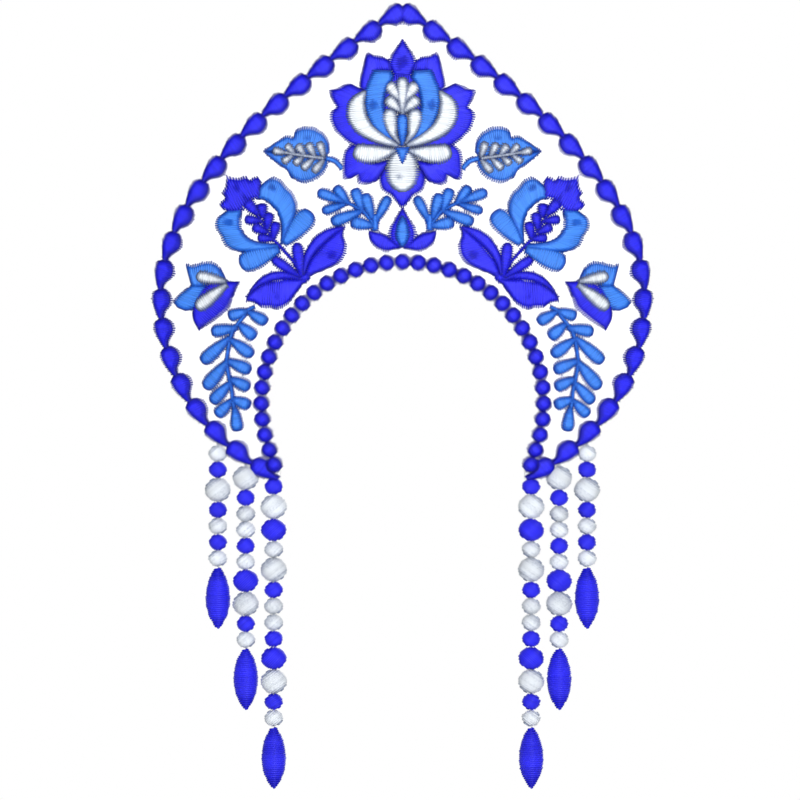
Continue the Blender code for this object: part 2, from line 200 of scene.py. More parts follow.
def add(tree, kind, inputs=None, **settings):
    """Adds a node, sets its settings, and fills its inputs with values or with other nodes' outputs."""
    node = tree.nodes.new(kind)
    for key, value in settings.items():
        setattr(node, key, value)
    for key, value in (inputs or {}).items():
        if isinstance(value, bpy.types.NodeSocket):
            tree.links.new(value, node.inputs[key])
        else:
            node.inputs[key].default_value = value
    return node


def maths(tree, operation, first, second=0.0):
    return add(tree, "ShaderNodeMath", {0: first, 1: second}, operation=operation).outputs[0]


def named(tree, name, data_type="FLOAT"):
    """The value of a named attribute at each point."""
    return add(tree, "GeometryNodeInputNamedAttribute", {"Name": name}, data_type=data_type).outputs[0]


# %% [markdown]
# A tree is run by a modifier on a mesh of guides. The result is taken off the evaluated object as a plain
# mesh, and the guides go.

# %% Running a tree
def grow(name, mesh, tree, values):
    """Runs a tree on a mesh and returns the result as a plain mesh object."""
    guide = bpy.data.objects.new(name + "_guide", mesh)
    bpy.context.scene.collection.objects.link(guide)
    modifier = guide.modifiers.new("grow", "NODES")
    modifier.node_group = tree
    for item in tree.interface.items_tree:
        if item.item_type == "SOCKET" and item.name in values:
            modifier[item.identifier] = values[item.name]
    graph = bpy.context.evaluated_depsgraph_get()
    grown = bpy.data.meshes.new_from_object(guide.evaluated_get(graph))
    guide.modifiers.remove(modifier)
    bpy.data.objects.remove(guide, do_unlink=True)
    grown.name = name
    piece = bpy.data.objects.new(name, grown)
    bpy.context.scene.collection.objects.link(piece)
    return piece


# %% [markdown]
# Both trees start and end alike. What comes in is a mix of guides, which are chains of edges, and of faces
# that pass through, and the attribute `is_thread` tells them apart. At the end a circle is swept along the
# guides, the faces join them, everything is made real geometry, and it gets its material.

# %% The start and the end of both trees
def part_guides(tree, geometry):
    """Splits what comes in into guides, as curves, and the faces that pass through."""
    parts = add(
        tree,
        "GeometryNodeSeparateGeometry",
        {"Geometry": geometry, "Selection": named(tree, "is_thread")},
        domain="POINT",
    ).outputs
    guides = add(tree, "GeometryNodeMeshToCurve", {"Mesh": parts["Selection"]})
    return guides.outputs[0], parts["Inverted"]


def end_tree(tree, given, guides, faces, scale=1.0):
    """Sweeps threads along the guides, joins the faces to them, and ends the tree with its material."""
    circle = add(
        tree,
        "GeometryNodeCurvePrimitiveCircle",
        {"Resolution": given["Thread Sides"], "Radius": given["Thread Radius"]},
    )
    threads = add(
        tree,
        "GeometryNodeCurveToMesh",
        {"Curve": guides, "Profile Curve": circle.outputs[0], "Scale": scale, "Fill Caps": True},
    )
    joined = add(tree, "GeometryNodeJoinGeometry")
    tree.links.new(faces, joined.inputs[0])
    tree.links.new(threads.outputs[0], joined.inputs[0])
    smooth = add(tree, "GeometryNodeSetShadeSmooth", {"Geometry": joined.outputs[0]})
    real = add(tree, "GeometryNodeRealizeInstances", {"Geometry": smooth.outputs[0]})
    dyed = add(tree, "GeometryNodeSetMaterial", {"Geometry": real.outputs[0], "Material": given["Material"]})
    add(tree, "NodeGroupOutput", {"Geometry": dyed.outputs[0]})


# %% [markdown]
# ## The tree that bows and stitches
#
# A stitch comes in as a guide: a short chain of edges that rises over its padding. The tree first bows the
# whole drawing on a cylinder, so that a point at x turns about the cylinder's axis behind the plate. Then
# it sweeps a small circle along each guide. The attribute `inside` says how far a point lies inside its
# figure's rim: 0 at the rim, where threads dive into the cloth, and 1 where the padding is full. It makes
# the thread a little thinner near its holes, where it is pulled tight, and later the thread's colour reads
# it for painted shade, darker towards the rim.

# %% Tree for bowed stitches
THREAD_RADIUS = 0.44 * MM
THREAD_SIDES = 5
TIGHT_ZONE = 0.25
TIGHT_SHARE = 0.8


def bowed(tree, given):
    """Where a point of the flat drawing lands on the bow's cylinder."""
    place = add(tree, "ShaderNodeSeparateXYZ", {0: add(tree, "GeometryNodeInputPosition").outputs[0]}).outputs
    share = maths(tree, "DIVIDE", place["X"], given["Bow Radius"])
    reach = maths(tree, "SUBTRACT", given["Bow Radius"], place["Y"])
    turned = maths(tree, "SQRT", maths(tree, "SUBTRACT", 1.0, maths(tree, "MULTIPLY", share, share)))
    axis = maths(tree, "ADD", given["Plate Front"], given["Bow Radius"])
    landed = add(
        tree,
        "ShaderNodeCombineXYZ",
        {
            "X": maths(tree, "MULTIPLY", reach, share),
            "Y": maths(tree, "SUBTRACT", axis, maths(tree, "MULTIPLY", reach, turned)),
            "Z": place["Z"],
        },
    )
    return landed.outputs[0]


def stitch_tree():
    tree = new_tree(
        "bow_and_stitch",
        [
            ("Thread Radius", "NodeSocketFloat", THREAD_RADIUS),
            ("Thread Sides", "NodeSocketInt", THREAD_SIDES),
            ("Bow Radius", "NodeSocketFloat", BOW_RADIUS),
            ("Plate Front", "NodeSocketFloat", PLATE_FRONT),
            ("Material", "NodeSocketMaterial", None),
        ],
    )
    given = add(tree, "NodeGroupInput").outputs
    wrapped = add(
        tree, "GeometryNodeSetPosition", {"Geometry": given["Geometry"], "Position": bowed(tree, given)}
    )
    guides, faces = part_guides(tree, wrapped.outputs[0])
    tight = add(
        tree,
        "ShaderNodeMapRange",
        {"Value": named(tree, "inside"), "From Max": TIGHT_ZONE, "To Min": TIGHT_SHARE, "To Max": 1.0},
    )
    end_tree(tree, given, guides, faces, tight.outputs[0])
    return tree


STITCH_TREE = stitch_tree()
print("The stitching tree has", len(STITCH_TREE.nodes), "nodes")

# %% [markdown]
# ## Thread
#
# Satin stitch shines along the top of its padding and goes dark where the thread turns down into the cloth.
# Light on the domed threads gives part of that, and the rest is painted shade in the thread's colour: a ramp
# over `inside`, from painted shade at the holes over the padding's side to the lit colour on top, blurred by
# fine specks, with a slightly different tone for each thread. A fine slanting bump gives the ply.

# %% Dyed thread
SPECK_SCALE = 900.0
SPECKLE = 0.45
HOLE_STOP, SIDE_STOP, TOP_STOP = 0.1, 0.46, 0.95
DULLEST, BRIGHTEST = 0.86, 1.1
PLY_SCALE = 620.0
PLY_DEPTH = 0.08 * MM


def linear(red, green, blue):
    """A colour as a screen shows it, from 0 to 255, in the numbers a shader wants."""
    shares = [c / 255 for c in (red, green, blue)]
    return (*[c / 12.92 if c <= 0.04045 else ((c + 0.055) / 1.055) ** 2.4 for c in shares], 1.0)


def new_material(name, roughness, sheen, specular):
    material = bpy.data.materials.new(name)
    material.use_nodes = True
    shader = material.node_tree.nodes["Principled BSDF"]
    shader.inputs["Roughness"].default_value = roughness
    shader.inputs["Sheen Weight"].default_value = sheen
    shader.inputs["Sheen Roughness"].default_value = 0.4
    shader.inputs["Specular IOR Level"].default_value = specular
    return material, shader


def thread_material(name, hole, side, top):
    """Thread coloured by a ramp from painted shade in the hole, over the padding's shaded side, to its lit
    top.
    """
    material, shader = new_material(name, roughness=0.45, sheen=0.04, specular=0.25)
    tree = material.node_tree
    inside = add(tree, "ShaderNodeAttribute", attribute_name="inside").outputs["Fac"]
    tone = add(tree, "ShaderNodeAttribute", attribute_name="tone").outputs["Fac"]
    place = add(tree, "ShaderNodeTexCoord").outputs["Object"]
    specks = add(tree, "ShaderNodeTexNoise", {"Vector": place, "Scale": SPECK_SCALE, "Detail": 2.0})
    speck_shift = maths(tree, "MULTIPLY", maths(tree, "SUBTRACT", specks.outputs["Fac"], 0.5), SPECKLE)
    # The ramp paints shade: its hole and side stops are painted shade, its top stop the thread's lit colour
    ramp = add(tree, "ShaderNodeValToRGB", {"Fac": maths(tree, "ADD", inside, speck_shift)})
    ramp.color_ramp.interpolation = "EASE"
    stops = ramp.color_ramp.elements
    stops[0].position = HOLE_STOP
    stops[0].color = linear(*hole)
    stops[1].position = TOP_STOP
    stops[1].color = linear(*top)
    stops.new(SIDE_STOP).color = linear(*side)
    bright = add(
        tree, "ShaderNodeMapRange", {"Value": tone, "From Min": -1.0, "To Min": DULLEST, "To Max": BRIGHTEST}
    )
    painted_shade_and_tone = {"Value": bright.outputs[0], "Color": ramp.outputs["Color"]}
    tinted = add(tree, "ShaderNodeHueSaturation", painted_shade_and_tone)
    tree.links.new(tinted.outputs[0], shader.inputs["Base Color"])
    ply = add(
        tree,
        "ShaderNodeTexWave",
        {"Vector": place, "Scale": PLY_SCALE, "Distortion": 1.5, "Detail": 1.0},
        bands_direction="DIAGONAL",
    )
    twist = {"Strength": 0.35, "Distance": PLY_DEPTH, "Height": ply.outputs["Fac"]}
    bump = add(tree, "ShaderNodeBump", twist)
    tree.links.new(bump.outputs[0], shader.inputs["Normal"])
    return material


# Each thread's hole and side colours are painted shade of its lit top colour
THREADS = {
    "royal": thread_material("royal_thread", hole=(4, 2, 128), side=(9, 7, 186), top=(44, 43, 226)),
    "light": thread_material("light_thread", hole=(5, 50, 136), side=(21, 86, 188), top=(64, 131, 227)),
    "white": thread_material("white_thread", hole=(72, 82, 112), side=(136, 146, 168), top=(219, 224, 230)),
}
print("Threads dyed:", ", ".join(THREADS))

# %% [markdown]
# ## Cloth
#
# The ground is a plain weave. Its threads are far thinner than a stitch, so it is bump alone: two crossed
# waves, one thread apart, and a faint unevenness in the yarn's colour.

# %% Woven cloth
WEAVE_PITCH = 0.6 * MM
WEAVE_DEPTH = 0.1 * MM


def cloth_material(name, colour):
    material, shader = new_material(name, roughness=0.8, sheen=0.25, specular=0.2)
    tree = material.node_tree
    place = add(tree, "ShaderNodeTexCoord").outputs["Object"]
    uneven = add(tree, "ShaderNodeTexNoise", {"Vector": place, "Scale": 90.0, "Detail": 4.0})
    shade = add(tree, "ShaderNodeMapRange", {"Value": uneven.outputs["Fac"], "To Min": 0.97, "To Max": 1.03})
    tinted = add(tree, "ShaderNodeHueSaturation", {"Value": shade.outputs[0], "Color": linear(*colour)})
    tree.links.new(tinted.outputs[0], shader.inputs["Base Color"])
    # A wave texture comes back after pi / (10 * scale)
    wave = {"Vector": place, "Scale": math.pi / (10 * WEAVE_PITCH), "Distortion": 0.4, "Detail": 1.0}
    across = add(tree, "ShaderNodeTexWave", wave, bands_direction="X").outputs["Fac"]
    upwards = add(tree, "ShaderNodeTexWave", wave, bands_direction="Z").outputs["Fac"]
    weave = maths(tree, "MULTIPLY", across, upwards)
    bump = add(tree, "ShaderNodeBump", {"Strength": 0.3, "Distance": WEAVE_DEPTH, "Height": weave})
    tree.links.new(bump.outputs[0], shader.inputs["Normal"])
    return material


CLOTH = cloth_material("white_cloth", colour=(248, 248, 250))
print("The cloth has", round(10 * MM / WEAVE_PITCH), "threads to a centimetre")

# %% [markdown]
# ## Stitches as guides
#
# Satin stitch goes to and fro between two rows of holes. The thread comes up through a hole on one side,
# crosses, goes down on the other side, and comes back half a step further. Two threads meet in each hole,
# and that gives satin its toothed edge. `Needlework` collects such threads for one piece, with the padding
# under them, and grows them all at once.

# %% Sizes of a stitch and its padding
TOOTH = 1.45 * MM
HOLE_REACH = 0.36 * MM
HOLE_JITTER = 0.38 * MM

# A thread's points crowd towards its holes, and it rests this many of its radii over its base
THREAD_POINTS = 8
CROWDING = 0.06
THREAD_REST = (0.5, 0.8)

# The padding is smaller and lower than its threads, and painted darker with painted shade, for it only shows
# deep between them
PAD_POINTS = 7
PAD_INSET = 0.1
PAD_LIFT = 0.1 * MM
PAD_SHARE = 0.86
PAD_SHADE = 0.7


def swell(inside):
    """The padding's height as a share, from 0 at the rim over a round shoulder to 1."""
    return math.sqrt(max(1.0 - (1.0 - inside) ** 2, 0.0))


print("A thread is", round(2 * THREAD_RADIUS / MM, 2), "mm thick")
print("Two threads share a hole every", round(TOOTH / MM, 2), "mm")

# %% The needlework of one piece
class Needlework:
    """The threads and padding of one piece, drawn flat."""

    def __init__(self, seed):
        self.random = random.Random(seed)
        self.points, self.edges, self.faces = [], [], []
        self.inside, self.tone, self.is_thread = [], [], []

    def add_point(self, flat, out, inside, tone, is_thread):
        self.points.append((flat.x, -out, flat.y))
        self.inside.append(inside)
        self.tone.append(tone)
        self.is_thread.append(is_thread)
        return len(self.points) - 1

    def stitch(self, start, end, base, height, inside_at):
        """One thread from hole to hole; inside_at says how far inside the figure's rim a point lies."""
        tone = self.random.uniform(-1.0, 1.0)
        rest = base + THREAD_RADIUS * self.random.uniform(*THREAD_REST)
        last = None
        for step in range(THREAD_POINTS):
            even = step / (THREAD_POINTS - 1)
            share = even - CROWDING * math.sin(2 * math.pi * even)
            flat = start.lerp(end, share)
            inside = inside_at(flat) if 0 < step < THREAD_POINTS - 1 else 0.0
            point = self.add_point(flat, rest + height * swell(inside), inside, tone, 1.0)
            if last is not None:
                self.edges.append((last, point))
            last = point

    def padding(self, chords, base, height, inside_at):
        """A closed cushion under a row of chords, a little smaller and lower than the threads over it."""
        rows = []
        for start, end in chords:
            row = []
            for step in range(PAD_POINTS):
                share = PAD_INSET + (1 - 2 * PAD_INSET) * step / (PAD_POINTS - 1)
                flat = start.lerp(end, share)
                inside = inside_at(flat)
                top = base + PAD_LIFT + PAD_SHARE * height * swell(inside)
                # The padding's colour is painted shade, set low on the thread's ramp
                high = self.add_point(flat, top, PAD_SHADE * inside, 0.0, 0.0)
                low = self.add_point(flat, base, PAD_SHADE * inside, 0.0, 0.0)
                row.append((high, low))
            rows.append(row)
        for near, far in zip(rows, rows[1:]):
            for (a, a_low), (b, b_low), (c, c_low), (d, d_low) in zip(near, near[1:], far[1:], far):
                self.faces.append((a, b, c, d))
                self.faces.append((d_low, c_low, b_low, a_low))
        rim = [rows[0], [row[-1] for row in rows], rows[-1][::-1], [row[0] for row in rows][::-1]]
        for side in rim:
            for (high, low), (next_high, next_low) in zip(side, side[1:]):
                self.faces.append((next_high, high, low, next_low))

    def finish(self, name, colour, mirror=False):
        """Bows the drawing, grows its threads and returns the finished piece."""
        side = -1.0 if mirror else 1.0
        mesh = bpy.data.meshes.new(name)
        mesh.from_pydata([(x * side, y, z) for x, y, z in self.points], self.edges, self.faces)
        for label in ("inside", "tone", "is_thread"):
            layer = mesh.attributes.new(label, "FLOAT", "POINT")
            layer.data.foreach_set("value", getattr(self, label))
        solid = bmesh.new()
        solid.from_mesh(mesh)
        bmesh.ops.recalc_face_normals(solid, faces=solid.faces[:])
        solid.to_mesh(mesh)
        solid.free()
        piece = grow(name, mesh, STITCH_TREE, {"Thread Radius": THREAD_RADIUS, "Material": THREADS[colour]})
        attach(piece, "root")
        print(name, "has", len(self.edges) // (THREAD_POINTS - 1), "stitches")
        return piece


# %% [markdown]
# ## Filling a figure
#
# A figure is filled with chords, half a tooth apart, and one thread goes to and fro over them. Its holes
# lie a little outside the rim, and not quite in line, as a needle sets them. Padding goes under every
# second chord. How far a point lies inside the figure's outline domes the padding and sets the painted
# shade in the thread's colour.

# %% Threads over chords
def rim_distance(point, outline):
    nearest = math.inf
    for start, end in zip(outline, outline[1:] + outline[:1]):
        way = end - start
        share = min(max((point - start).dot(way) / max(way.length_squared, 1e-12), 0.0), 1.0)
        nearest = min(nearest, (point - start - way * share).length_squared)
    return math.sqrt(nearest)


def rim_measure(outline, rim_width):
    """A function that gives a point's depth inside an outline, from 0 at the rim to 1 a rim's width in."""
    return lambda point: min(rim_distance(point, outline) / rim_width, 1.0)


def zigzag(work, chords, base, height, inside_at):
    """Runs one thread to and fro over chords, with two threads to each hole."""
    holes = []
    for step, chord in enumerate(chords):
        hole = chord[step % 2]
        way = (chord[1] - chord[0]).normalized() * (1 if step % 2 else -1)
        holes.append(hole + way * (HOLE_REACH + work.random.uniform(-HOLE_JITTER, HOLE_JITTER)))
    for start, end in zip(holes, holes[1:]):
        work.stitch(start, end, base, height, inside_at)


def fill_runs(work, runs, base, height, inside_at):
    """Threads over domed padding, for each run of chords."""
    for run in runs:
        zigzag(work, run, base, height, inside_at)
        padded = [chord for chord in run[1:-1:2] if (chord[1] - chord[0]).length > TOOTH]
        if len(padded) > 1:
            work.padding(padded, base, height, inside_at)


# %% [markdown]
# ### Chords between two rails
#
# A long figure has a rail along each edge, and its chords are the rungs between them. On a bend one rail is
# longer, and the chords there spread like a fan, so they are spaced by the longer one.

# %% Chords between rails
def rail_chords(near, far):
    """Chords between two rails, half a tooth apart on whichever rail is longer at each place."""
    reached = [0.0]
    for a, b, c, d in zip(near, near[1:], far, far[1:]):
        reached.append(reached[-1] + max((b - a).length, (d - c).length))
    count = max(round(reached[-1] / (TOOTH / 2)), 2)
    chords = []
    index = 0
    for step in range(count + 1):
        goal = reached[-1] * step / count
        while index < len(reached) - 2 and reached[index + 1] < goal:
            index += 1
        share = (goal - reached[index]) / max(reached[index + 1] - reached[index], 1e-9)
        chords.append((near[index].lerp(near[index + 1], share), far[index].lerp(far[index + 1], share)))
    return chords


# %% [markdown]
# ## The teardrop border
#
# The outer edge is a chain of padded teardrops. Each has a round head towards the peak and a tail that runs
# down the outside to the next head. One table gives the figure: how far along it, and how far its outside
# and inside edges stand from the chain's line. The figure repeats along the outer line, and its two edges
# are its rails.

# %% Teardrops
TEAR_LENGTH = 18.0 * MM
TEAR_WIDTH = 11.2 * MM
TEAR_HEIGHT = 3.0 * MM
TEAR_RIM = TEAR_WIDTH * 0.36
TEAR_SLANT = 0.07

# Place along the teardrop as a share of its length; outside and inside edge as shares of its half-width
TEAR_EDGES = (
    (-0.08, 0.42, 0.22), (-0.03, 0.76, 0.57), (0.04, 0.96, 0.86), (0.12, 1.07, 1.03), (0.22, 1.12, 1.12),
    (0.32, 1.12, 1.11), (0.42, 1.07, 0.95), (0.51, 1.00, 0.68), (0.60, 0.91, 0.41), (0.69, 0.81, 0.21),
    (0.78, 0.70, 0.10), (0.87, 0.58, 0.05), (0.97, 0.47, 0.01),
)


def tear_rails(start, length):
    """The outside and inside edge of the teardrop that starts at a distance along the outer line."""
    outside, within = [], []
    for place, out, into in TEAR_EDGES:
        slid = TEAR_SLANT * math.sin(math.pi * min(place, 1.0))
        point, way = along(OUTER_LINE, start + length * (place - slid))
        outside.append(point + Vector((way.y, -way.x)) * TEAR_WIDTH / 2 * out)
        point, way = along(OUTER_LINE, start + length * (place + slid))
        within.append(point - Vector((way.y, -way.x)) * TEAR_WIDTH / 2 * into)
    return outside, within


def teardrop_border(name, mirror):
    work = Needlework(seed=11)
    count = round(OUTER_LENGTH / TEAR_LENGTH)
    pitch = OUTER_LENGTH / count
    for tear in range(count):
        outside, within = tear_rails(tear * pitch, pitch)
        inside_at = rim_measure(outside + within[::-1], TEAR_RIM)
        fill_runs(work, [rail_chords(outside, within)], GAP, TEAR_HEIGHT - 2 * THREAD_RADIUS, inside_at)
    piece = work.finish("satin_" + name, "royal", mirror)
    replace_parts(piece, name)
    return piece


teardrop_border("outer_border_left", mirror=False)
teardrop_border("outer_border_right", mirror=True)

# %% [markdown]
# ### Chords at one slant
#
# A round or ragged figure has no rails. It is filled with parallel chords at one slant: lines are laid over
# the outline, and the stretches inside it are kept. Where a notch cuts a line in two, the far part starts a
# run of its own.

# %% Chords at one slant
def crossings(outline, way, offset):
    """The stretches inside an outline of a line in direction way, offset to its left."""
    side = Vector((-way.y, way.x))
    cuts = []
    for start, end in zip(outline, outline[1:] + outline[:1]):
        before = start.dot(side) - offset
        after = end.dot(side) - offset
        if (before < 0.0) != (after < 0.0):
            cuts.append(start.lerp(end, before / (before - after)).dot(way))
    cuts.sort()
    shift = side * offset
    return [(way * low + shift, way * high + shift) for low, high in zip(cuts[::2], cuts[1::2])]


def overlap(one, other, way):
    return one[0].dot(way) < other[1].dot(way) and other[0].dot(way) < one[1].dot(way)


def slanted_runs(outline, slant, pitch):
    """Runs of chords over an outline, a pitch apart, in a direction given as an angle from +x."""
    way = Vector((math.cos(slant), math.sin(slant)))
    side = Vector((-way.y, way.x))
    offsets = [p.dot(side) for p in outline]
    low, high = min(offsets), max(offsets)
    count = max(round((high - low) / pitch), 2)
    runs, growing = [], []
    for step in range(count):
        grown = []
        for chord in crossings(outline, way, low + (high - low) * (step + 0.5) / count):
            beside = [run for run in growing if overlap(run[-1], chord, way)]
            if beside:
                growing.remove(beside[0])
                run = beside[0]
            else:
                run = []
                runs.append(run)
            run.append(chord)
            grown.append(run)
        growing = grown
    return [run for run in runs if len(run) > 1]


# %% [markdown]
# ## The row of round beads
#
# A row of round padded dots follows the arch, each filled at a slant that turns over on the axis. The last
# one at each end lies on top of the teardrop chain, so its base climbs by the chain's height.

# %% Round dots
ROUND_SIZE = 9.8 * MM
ROUND_HEIGHT = 2.8 * MM
ROUND_RADIUS = 5.0 * MM
ROUND_RIM = ROUND_RADIUS * 0.85
ROUND_SLANT = math.radians(45.0)
ROUND_CORNERS = 22
ROUND_TOOTH = 1.2 * MM


def round_outline(centre, radius):
    turns = [2 * math.pi * step / ROUND_CORNERS for step in range(ROUND_CORNERS)]
    return [centre + Vector((math.cos(turn), math.sin(turn))) * radius for turn in turns]


def round_border():
    work = Needlework(seed=12)
    count = round(ARCH_SWEEP * ARCH_RADIUS / ROUND_SIZE)
    for dot in range(-count, count + 1):
        base = GAP + (TEAR_HEIGHT if abs(dot) == count else 0.0)
        outline = round_outline(arch_point(-dot * ARCH_SWEEP / count), ROUND_RADIUS)
        slant = ROUND_SLANT if dot <= 0 else math.pi - ROUND_SLANT
        runs = slanted_runs(outline, slant, ROUND_TOOTH / 2)
        fill_runs(work, runs, base, ROUND_HEIGHT - 2 * THREAD_RADIUS, rim_measure(outline, ROUND_RIM))
    piece = work.finish("satin_inner_border", "royal")
    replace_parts(piece, "inner_border")
    return piece


round_border()

# %% [markdown]
# ## Figures drawn as ladders
#
# Petals, leaves and stems are stitched across their length. Such a figure is drawn like a ladder: a rung is
# one stitch from edge to edge, and only the rungs where the shape turns are written down. Smooth rails run
# through the rungs' ends, and the chords between them fill the rest. A leaflet is a ladder that is narrow
# at its base and round at its tip, and a stem is a ladder along a path.

# %% Ladders, leaflets and stems
RAIL_STEPS = 6
RAIL_PULL = 0.36
NECK = 0.32
TIP_ROUNDNESS = 2.5
WIDEST = 0.74
LEAFLET_RUNGS = 9


def smooth_rail(points):
    """A curve through points that stays close to straight lines between them, so that tips stay sharp."""
    ends = [points[0]] + points + [points[-1]]
    rail = []
    for before, start, end, after in zip(ends, ends[1:], ends[2:], ends[3:]):
        slope_in, slope_out = (end - before) * RAIL_PULL, (after - start) * RAIL_PULL
        for step in range(RAIL_STEPS):
            t = step / RAIL_STEPS
            rail.append(
                start * (2 * t**3 - 3 * t**2 + 1)
                + slope_in * (t**3 - 2 * t**2 + t)
                + end * (-2 * t**3 + 3 * t**2)
                + slope_out * (t**3 - t**2)
            )
    return rail + [points[-1]]


def leaflet_rungs(base, tip, width):
    """Rungs across a leaflet from its narrow base to its round tip."""
    way = (tip - base).normalized()
    side = Vector((-way.y, way.x))
    rungs = []
    for step in range(LEAFLET_RUNGS):
        share = math.sin(math.pi / 2 * step / (LEAFLET_RUNGS - 1))
        if share < WIDEST:
            girth = NECK + (1 - NECK) * math.sin(math.pi / 2 * share / WIDEST)
        else:
            girth = math.sqrt(max(1 - ((share - WIDEST) / (1 - WIDEST)) ** TIP_ROUNDNESS, 0.0))
        middle = base.lerp(tip, share)
        rungs.append((middle - side * girth * width / 2, middle + side * girth * width / 2))
    return rungs


def stem_rungs(path, width):
    """Rungs across a path."""
    rungs = []
    for index, point in enumerate(path):
        way = (path[min(index + 1, len(path) - 1)] - path[max(index - 1, 0)]).normalized()
        side = Vector((-way.y, way.x)) * width / 2
        rungs.append((point - side, point + side))
    return rungs


# %% [markdown]
# ## Where the motifs stand
#
# A motif is drawn in hundredths of its own frame, from its root. The root stands on a ray from the arch's
# centre, and the frame is a share of the free strip between the two borders there, as in the construction.
# So the motifs keep their places when the headdress gets another size.

# %% Places of the motifs
# Name, ray's angle, root's place up the free strip as a share, and the frame's size as a share of the strip
MOTIF_PLACES = {
    "centre_flower": (0.0, 0.452, 0.427),
    "centre_bud": (0.0, 0.030, 0.427),
    "leaf": (17.0, 0.600, 0.564),
    "sprig": (8.35, 0.133, 0.497),
    "rose": (37.7, 0.345, 0.697),
    "leaf_pair": (38.5, 0.065, 0.700),
    "bud": (55.5, 0.508, 0.810),
    "fern": (76.2, 0.361, 1.176),
}


def free_strip(angle):
    """The strip between the borders along a ray from the arch's centre: its inner radius and its width."""
    centre = Vector((0.0, -ARCH_RADIUS))
    inner = ARCH_RADIUS + ROUND_SIZE / 2
    for start, end in zip(OUTER_LINE, OUTER_LINE[1:]):
        if math.atan2(-(end - centre).x, (end - centre).y) >= angle:
            return inner, (start - centre).length - TEAR_WIDTH / 2 - inner


print("The free strip is", round(free_strip(0.0)[1] / MM), "mm wide on the axis")

# %% [markdown]
# ## Drawing a motif
#
# `Motif` collects figures sorted by colour. Figures lie in layers: white over light blue over royal. A knot
# is a small dip in a petal, where a few stitches are pulled down, and painted shade darkens their colour
# there.
# On the axis only one half is drawn, and a figure gets a mirrored twin there unless it lies across the axis.

# %% Motif kit
def mirrored(runs, outline, spots):
    """The same figure on the other side of the axis."""
    def across(point):
        return Vector((-point.x, point.y))

    return (
        [[(across(a), across(b)) for a, b in run] for run in runs],
        [across(point) for point in outline],
        [(across(point), width, high) for point, width, high in spots],
    )


class Motif:
    """Figures in a motif's own frame."""

    def __init__(self, name):
        self.name = name
        angle, share, fill = MOTIF_PLACES[name]
        inner, free = free_strip(math.radians(angle))
        self.central = angle == 0.0
        self.root = arch_point(math.radians(angle), inner + free * share)
        self.unit = free * fill / 100
        self.figures = []

    def place(self, x, y):
        return self.root + Vector((x, y)) * self.unit

    def keep(self, colour, layer, runs, outline, knots, twin):
        half = self.unit / 2
        spots = [(self.place(x, y), width * half, high * half) for x, y, width, high in knots]
        self.figures.append((colour, layer, runs, outline, spots))
        if twin:
            self.figures.append((colour, layer, *mirrored(runs, outline, spots)))

    def add_rungs(self, colour, layer, rungs, knots=(), paired=True):
        near = smooth_rail([a for a, b in rungs])
        far = smooth_rail([b for a, b in rungs])
        twin = paired and self.central
        self.keep(colour, layer, [rail_chords(near, far)], near[::2] + far[::-2], knots, twin)

    def ladder(self, colour, layer, rows, knots=(), paired=True):
        """A figure from rows of a rung's two ends."""
        rungs = [(self.place(ax, ay), self.place(bx, by)) for ax, ay, bx, by in rows]
        self.add_rungs(colour, layer, rungs, knots, paired)

    def leaflets(self, colour, layer, rows, paired=True):
        """Leaflets from rows of base, tip and width."""
        for bx, by, tx, ty, width in rows:
            rungs = leaflet_rungs(self.place(bx, by), self.place(tx, ty), width * self.unit)
            self.add_rungs(colour, layer, rungs, paired=paired)

    def stem(self, colour, layer, path, width):
        self.add_rungs(colour, layer, stem_rungs([self.place(x, y) for x, y in path], width * self.unit))

    def patch(self, colour, layer, corners, slant, knots=()):
        """A figure from its outline's corners, filled at one slant in degrees; it gets no twin."""
        outline = smooth_rail([self.place(x, y) for x, y in corners + corners[:1]])[:-1]
        runs = slanted_runs(outline, math.radians(slant), TOOTH / 2)
        self.keep(colour, layer, runs, outline, knots, twin=False)


# %% [markdown]
# ## Stitching a motif
#
# Each colour of a motif is a piece of its own. Padding rises from every rim, so a petal is dark at its
# edges and bright inside, by light on the dome and by painted shade in the thread's colour, and a narrow
# figure stays lower than a wide one. A motif beside the axis is stitched twice, as drawn and mirrored.

# %% Embroidery
RIM_WIDTH = 2.8 * MM
NARROW_RIM = 1.5 * MM
RISE_SHARE = 0.5
RISE_LIMIT = 1.25 * MM
LAYER_RISE = 1.1 * MM
KNOT_DEPTH = 0.72
PROBES = 12


def fill_figure(work, layer, runs, outline, spots):
    """Stitches one figure: its padding rises from the rim, no higher than its width allows."""
    middles = [a.lerp(b, 0.5) for run in runs for a, b in run[:: max(len(run) // PROBES, 1)]]
    half_width = min(max(rim_distance(point, outline) for point in middles), RIM_WIDTH)
    height = min(2 * half_width * RISE_SHARE, RISE_LIMIT)
    measure = rim_measure(outline, max(half_width, NARROW_RIM))

    def inside_at(point):
        inside = measure(point)
        # A knot lowers inside, which dips the padding and paints shade into the thread's colour there
        for centre, wide, high in spots:
            off = math.hypot((point.x - centre.x) / wide, (point.y - centre.y) / high)
            if off < 1.0:
                inside *= 1.0 - KNOT_DEPTH * (1.0 - off**2)
        return inside

    fill_runs(work, runs, GAP + LAYER_RISE * layer, height, inside_at)


def embroider(motif):
    """Grows one piece for each colour of a motif, on both sides unless the motif is on the axis."""
    sides = [("", False)] if motif.central else [("_left", False), ("_right", True)]
    for index, colour in enumerate(THREADS):
        figures = [figure[1:] for figure in motif.figures if figure[0] == colour]
        if not figures:
            continue
        work = Needlework(seed=len(motif.name) * 10 + index)
        for layer, runs, outline, spots in figures:
            fill_figure(work, layer, runs, outline, spots)
        for side, mirror in sides:
            piece = work.finish(f"satin_{motif.name}{side}_{colour}", colour, mirror)
            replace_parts(piece, motif.name + side)


# %% [markdown]
# ### The large flower
#
# On the axis stands the largest flower. Its royal petals reach under the others, and those beside the
# axis are stitched from the inside out to their scalloped edge. A plain patch closes the ground behind
# its heart.

